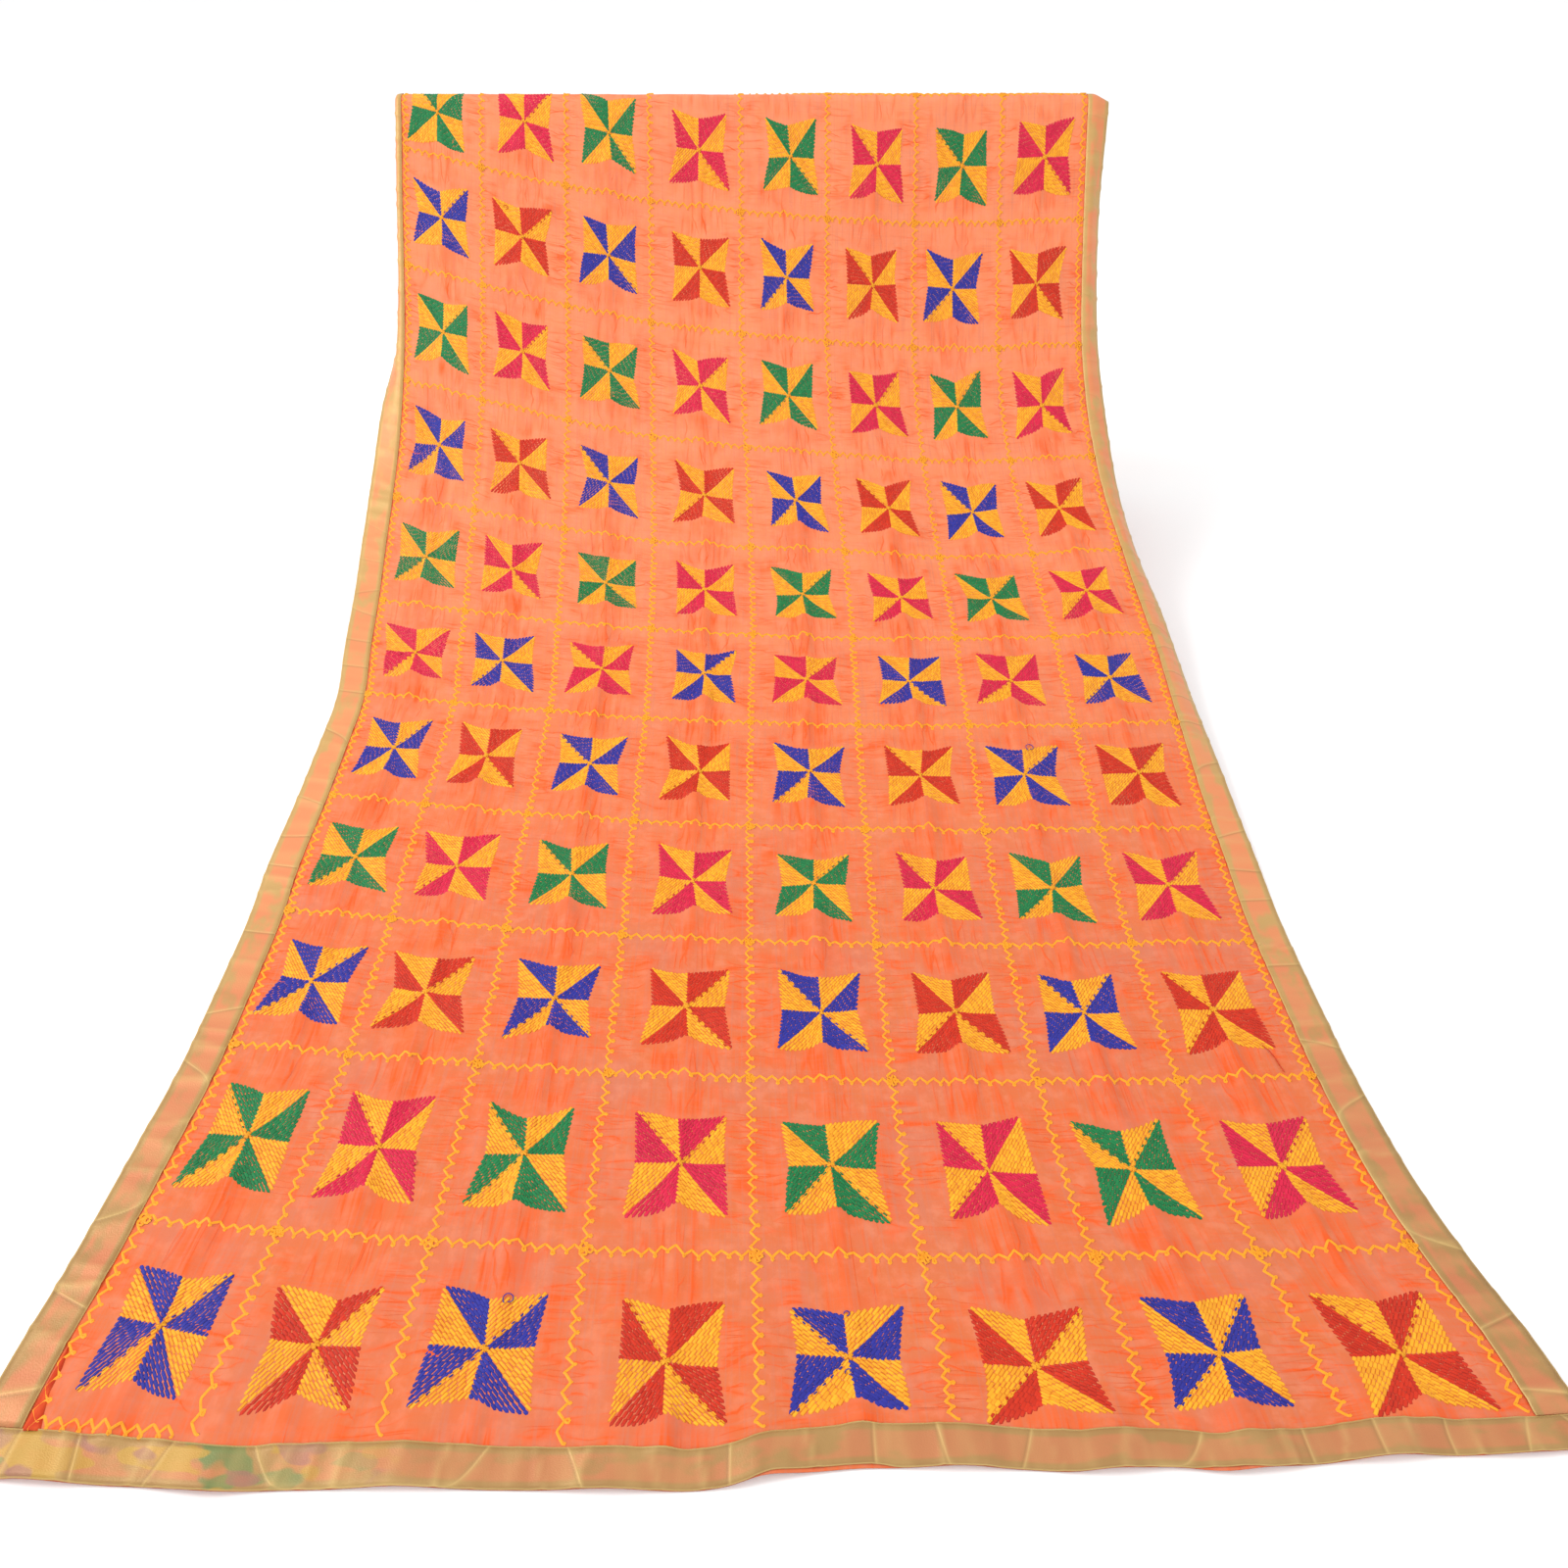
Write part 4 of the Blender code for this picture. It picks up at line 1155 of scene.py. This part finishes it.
draw = np.random.default_rng(41)
cross_lengths = FIRST_CROSS_LINE + ROW_PITCH * np.arange(ROWS - 1)
upright = [zigzag((line, HEM_INSET), (line, LENGTH - HEM_INSET), draw) for line in CELL_LINES]
crosswise = [zigzag((CELL_LINES[0], length), (CELL_LINES[-1], length), draw) for length in cross_lengths]
for path in crosswise:
    for centre in MOTIF_CENTRES:
        off = path[:, 0] - centre - draw.uniform(-PUSH_SHIFT, PUSH_SHIFT)
        path[:, 1] += draw.uniform(*PUSHES) * bell(np.where(off > 0, 1.6 * off, off), PUSH_SPREAD)
crosswise.append(zigzag((CELL_LINES[0], HEM_INSET), (CELL_LINES[0] + SHORT_LINE, HEM_INSET), draw))
knots = []
for line in CELL_LINES:
    for length in cross_lengths:
        centre = [place + draw.uniform(-KNOT_SHIFT, KNOT_SHIFT) for place in (line, length)]
        knots.append(winding(centre, draw.uniform(*KNOT_RADII), draw.choice((3, 5)), KNOT_POINTS))
# Brighter than they look, because a round thread catches less light than flat cloth
couched = floss("couched_thread", dye(272, 184, 40), dye(256, 128, 18))
thread_piece("zigzag_upright", couched, upright, THREAD_RADIUS, 51)
thread_piece("zigzag_crosswise", couched, crosswise, THREAD_RADIUS, 52)
thread_piece("zigzag_knots", couched, knots, THREAD_RADIUS, 53, lift=KNOT_LIFT)


# The loose ends
# A few ends of floss were left long where a motif was finished. They lie just off the cloth as small loops,
# and one red strand lies along it.

# over, up: mm from the motif's centre. size: mm. turns: degrees.
LOOSE_COLUMNS = ("thread", "row", "column", "over", "up", "size", "turns")
LOOSE_ENDS = (
    ("blue", 0, 2, 8, 36, 3.2, 320),
    ("blue", 0, 6, -3.5, 31, 2.6, 300),
    ("blue", 0, 4, -2.5, 33, 1.8, 260),
    ("blue", 0, 4, -5, -6, 2.2, 280),
    ("magenta", 3, 3, 24, -25, 3.0, 150),
    ("magenta", 5, 0, -18, -7, 3.4, 170),
    ("magenta", 1, 1, 30, -18, 2.6, 130),
    ("blue", 4, 6, 8, 38, 4.0, 330),
    ("red", 9, 1, -20, 30, 3.0, 240),
    ("blue", 11, 2, 10, 34, 3.0, 300),
    ("gold", 12, 5, -16, 30, 2.6, 220),
)
STRAND_PLACES = ((0.411, 0.327), (0.415, 0.321), (0.4175, 0.314), (0.4180, 0.307), (0.4195, 0.300))
STRAND_RADIUS = 0.00034
LOOSE_LIFT = 0.0012


def through(places, count):
    """Rows of numbers spaced evenly along the straight lines between a few given rows."""
    share = np.linspace(0, len(places) - 1, count)
    return np.stack([np.interp(share, np.arange(len(places)), values) for values in zip(*places)], axis=-1)


loose = {}
for values in LOOSE_ENDS:
    end = dict(zip(LOOSE_COLUMNS, values))
    angle = np.radians(np.linspace(0, end["turns"], 20))[:, None]
    centre = np.array((MOTIF_CENTRES[end["column"]], FIRST_ROW + ROW_PITCH * end["row"]))
    ring = end["size"] * np.concatenate([np.sin(angle), 1 - np.cos(angle) - 0.1 * angle], axis=1)
    loose.setdefault(end["thread"], []).append(centre + ((end["over"], end["up"]) + ring) / 1000)
loose["red"].append(through(STRAND_PLACES, 30))
for thread, paths in sorted(loose.items()):
    thread_piece(f"loose_{thread}", FLOSS[thread], paths, STRAND_RADIUS, 54, LOOSE_LIFT)


# The corner tuck
# At the near left corner the muslin's edge is folded over on itself beside the tapes and sewn down with
# them, so it lies three times on itself and shows a deep red orange.

# Places across and along the cloth, and the tuck's width there
CORNER_TUCK = ((-0.4445, 0.023, 0.0130), (-0.4440, 0.031, 0.0085), (-0.4435, 0.040, 0.0045),
               (-0.4430, 0.050, 0.0038), (-0.4425, 0.060, 0.0008))
CORNER_LIFT = 0.0002
CORNER_HEIGHT = 0.0012
CORNER_THICKNESS = 0.0005


def folded_muslin():
    """Muslin lying three times on itself: deep red orange, with the weave in its bump and uneven patches."""
    fold = Finish("folded_muslin", 0.9, Specular_IOR_Level=0.15)
    patch = fold.step(fold.stretched("flat", (160, 90, 1)), 0.35, 0.65)
    fold.colour(fold.mix(patch, dye(206, 66, 36), dye(232, 92, 48)))
    fold.bump(fold.stretched("flat", (900, 900, 1)), 0.0003)
    return fold.material


# A point at a share s of its width is raised by the square root of sin(pi s)
start, t, width = through(CORNER_TUCK, 13).T[:, :, None]
over = np.linspace(0, 1, 5)
u = start + width * over
t = np.broadcast_to(t, u.shape)
rise = CORNER_LIFT + CORNER_HEIGHT * np.sqrt(np.sin(np.pi * np.clip(over, 0.001, 0.999)))
outer, normal = on_cloth(u, t, rise)
mesh_piece("corner_tuck", wall_points(outer, normal, CORNER_THICKNESS), wall_faces(*u.shape), folded_muslin(),
           {"flat": np.tile(np.stack([u, t], -1).reshape(-1, 2), (2, 1))})


# The rod
# A plain round wooden rod, painted white. It carries the cloth at its bend, and two brackets or cords beyond
# the cloth would hold its ends. The frame gives its solid, so it is only painted here.


def rod_paint():
    """White paint, with the wood's grain just showing along the rod."""
    paint = Finish("rod_paint", 0.4)
    place = paint.node("ShaderNodeTexCoord", "Object")
    streak = paint.noise(paint.node("ShaderNodeMapping", Vector=place, Scale=(4, 120, 120)), 1.0, 3.0)
    paint.colour(paint.mix(streak, dye(232, 232, 228), dye(218, 217, 212)))
    paint.bump(streak, 0.0002)
    return paint.material


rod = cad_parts["rod"]
rod.data.materials.clear()
rod.data.materials.append(rod_paint())


# The floor and the light
# A wide pale floor under the laid part, a soft light from the left, a wider and weaker one from in front, and
# an even bright sky.
FLOOR_SIZE = 40.0
FLOOR_GAP = 0.0003
SKY_STRENGTH = 1.04

bpy.ops.mesh.primitive_plane_add(size=FLOOR_SIZE, location=(0, 0, cad_low[2] - FLOOR_GAP))
floor = bpy.context.object
floor.name = "floor"
pale = Finish("pale_floor", 0.95, Specular_IOR_Level=0.1)
pale.colour((0.97, 0.97, 0.97, 1))
floor.data.materials.append(pale.material)

world = bpy.data.worlds.new("studio")
world.use_nodes = True
sky = world.node_tree.nodes["Background"]
sky.inputs["Color"].default_value = (1, 1, 1, 1)
sky.inputs["Strength"].default_value = SKY_STRENGTH
bpy.context.scene.world = world


def soft_light(name, place, target, size, power):
    """A square area light at a place, turned to face a target."""
    light = bpy.data.lights.new(name, "AREA")
    light.shape = "SQUARE"
    light.size = size
    light.energy = power
    lamp = bpy.data.objects.new(name, light)
    lamp.location = place
    ahead = np.subtract(target, place)
    level = math.hypot(ahead[0], ahead[1])
    lamp.rotation_euler = (math.atan2(level, -ahead[2]), 0, math.atan2(-ahead[0], ahead[1]))
    bpy.context.scene.collection.objects.link(lamp)


soft_light("key", (-2.0, -0.9, 1.6), (0, -0.6, -0.4), 1.2, 45)
soft_light("fill", (1.4, -2.6, 1.8), (0, -0.6, -0.4), 2.0, 12)
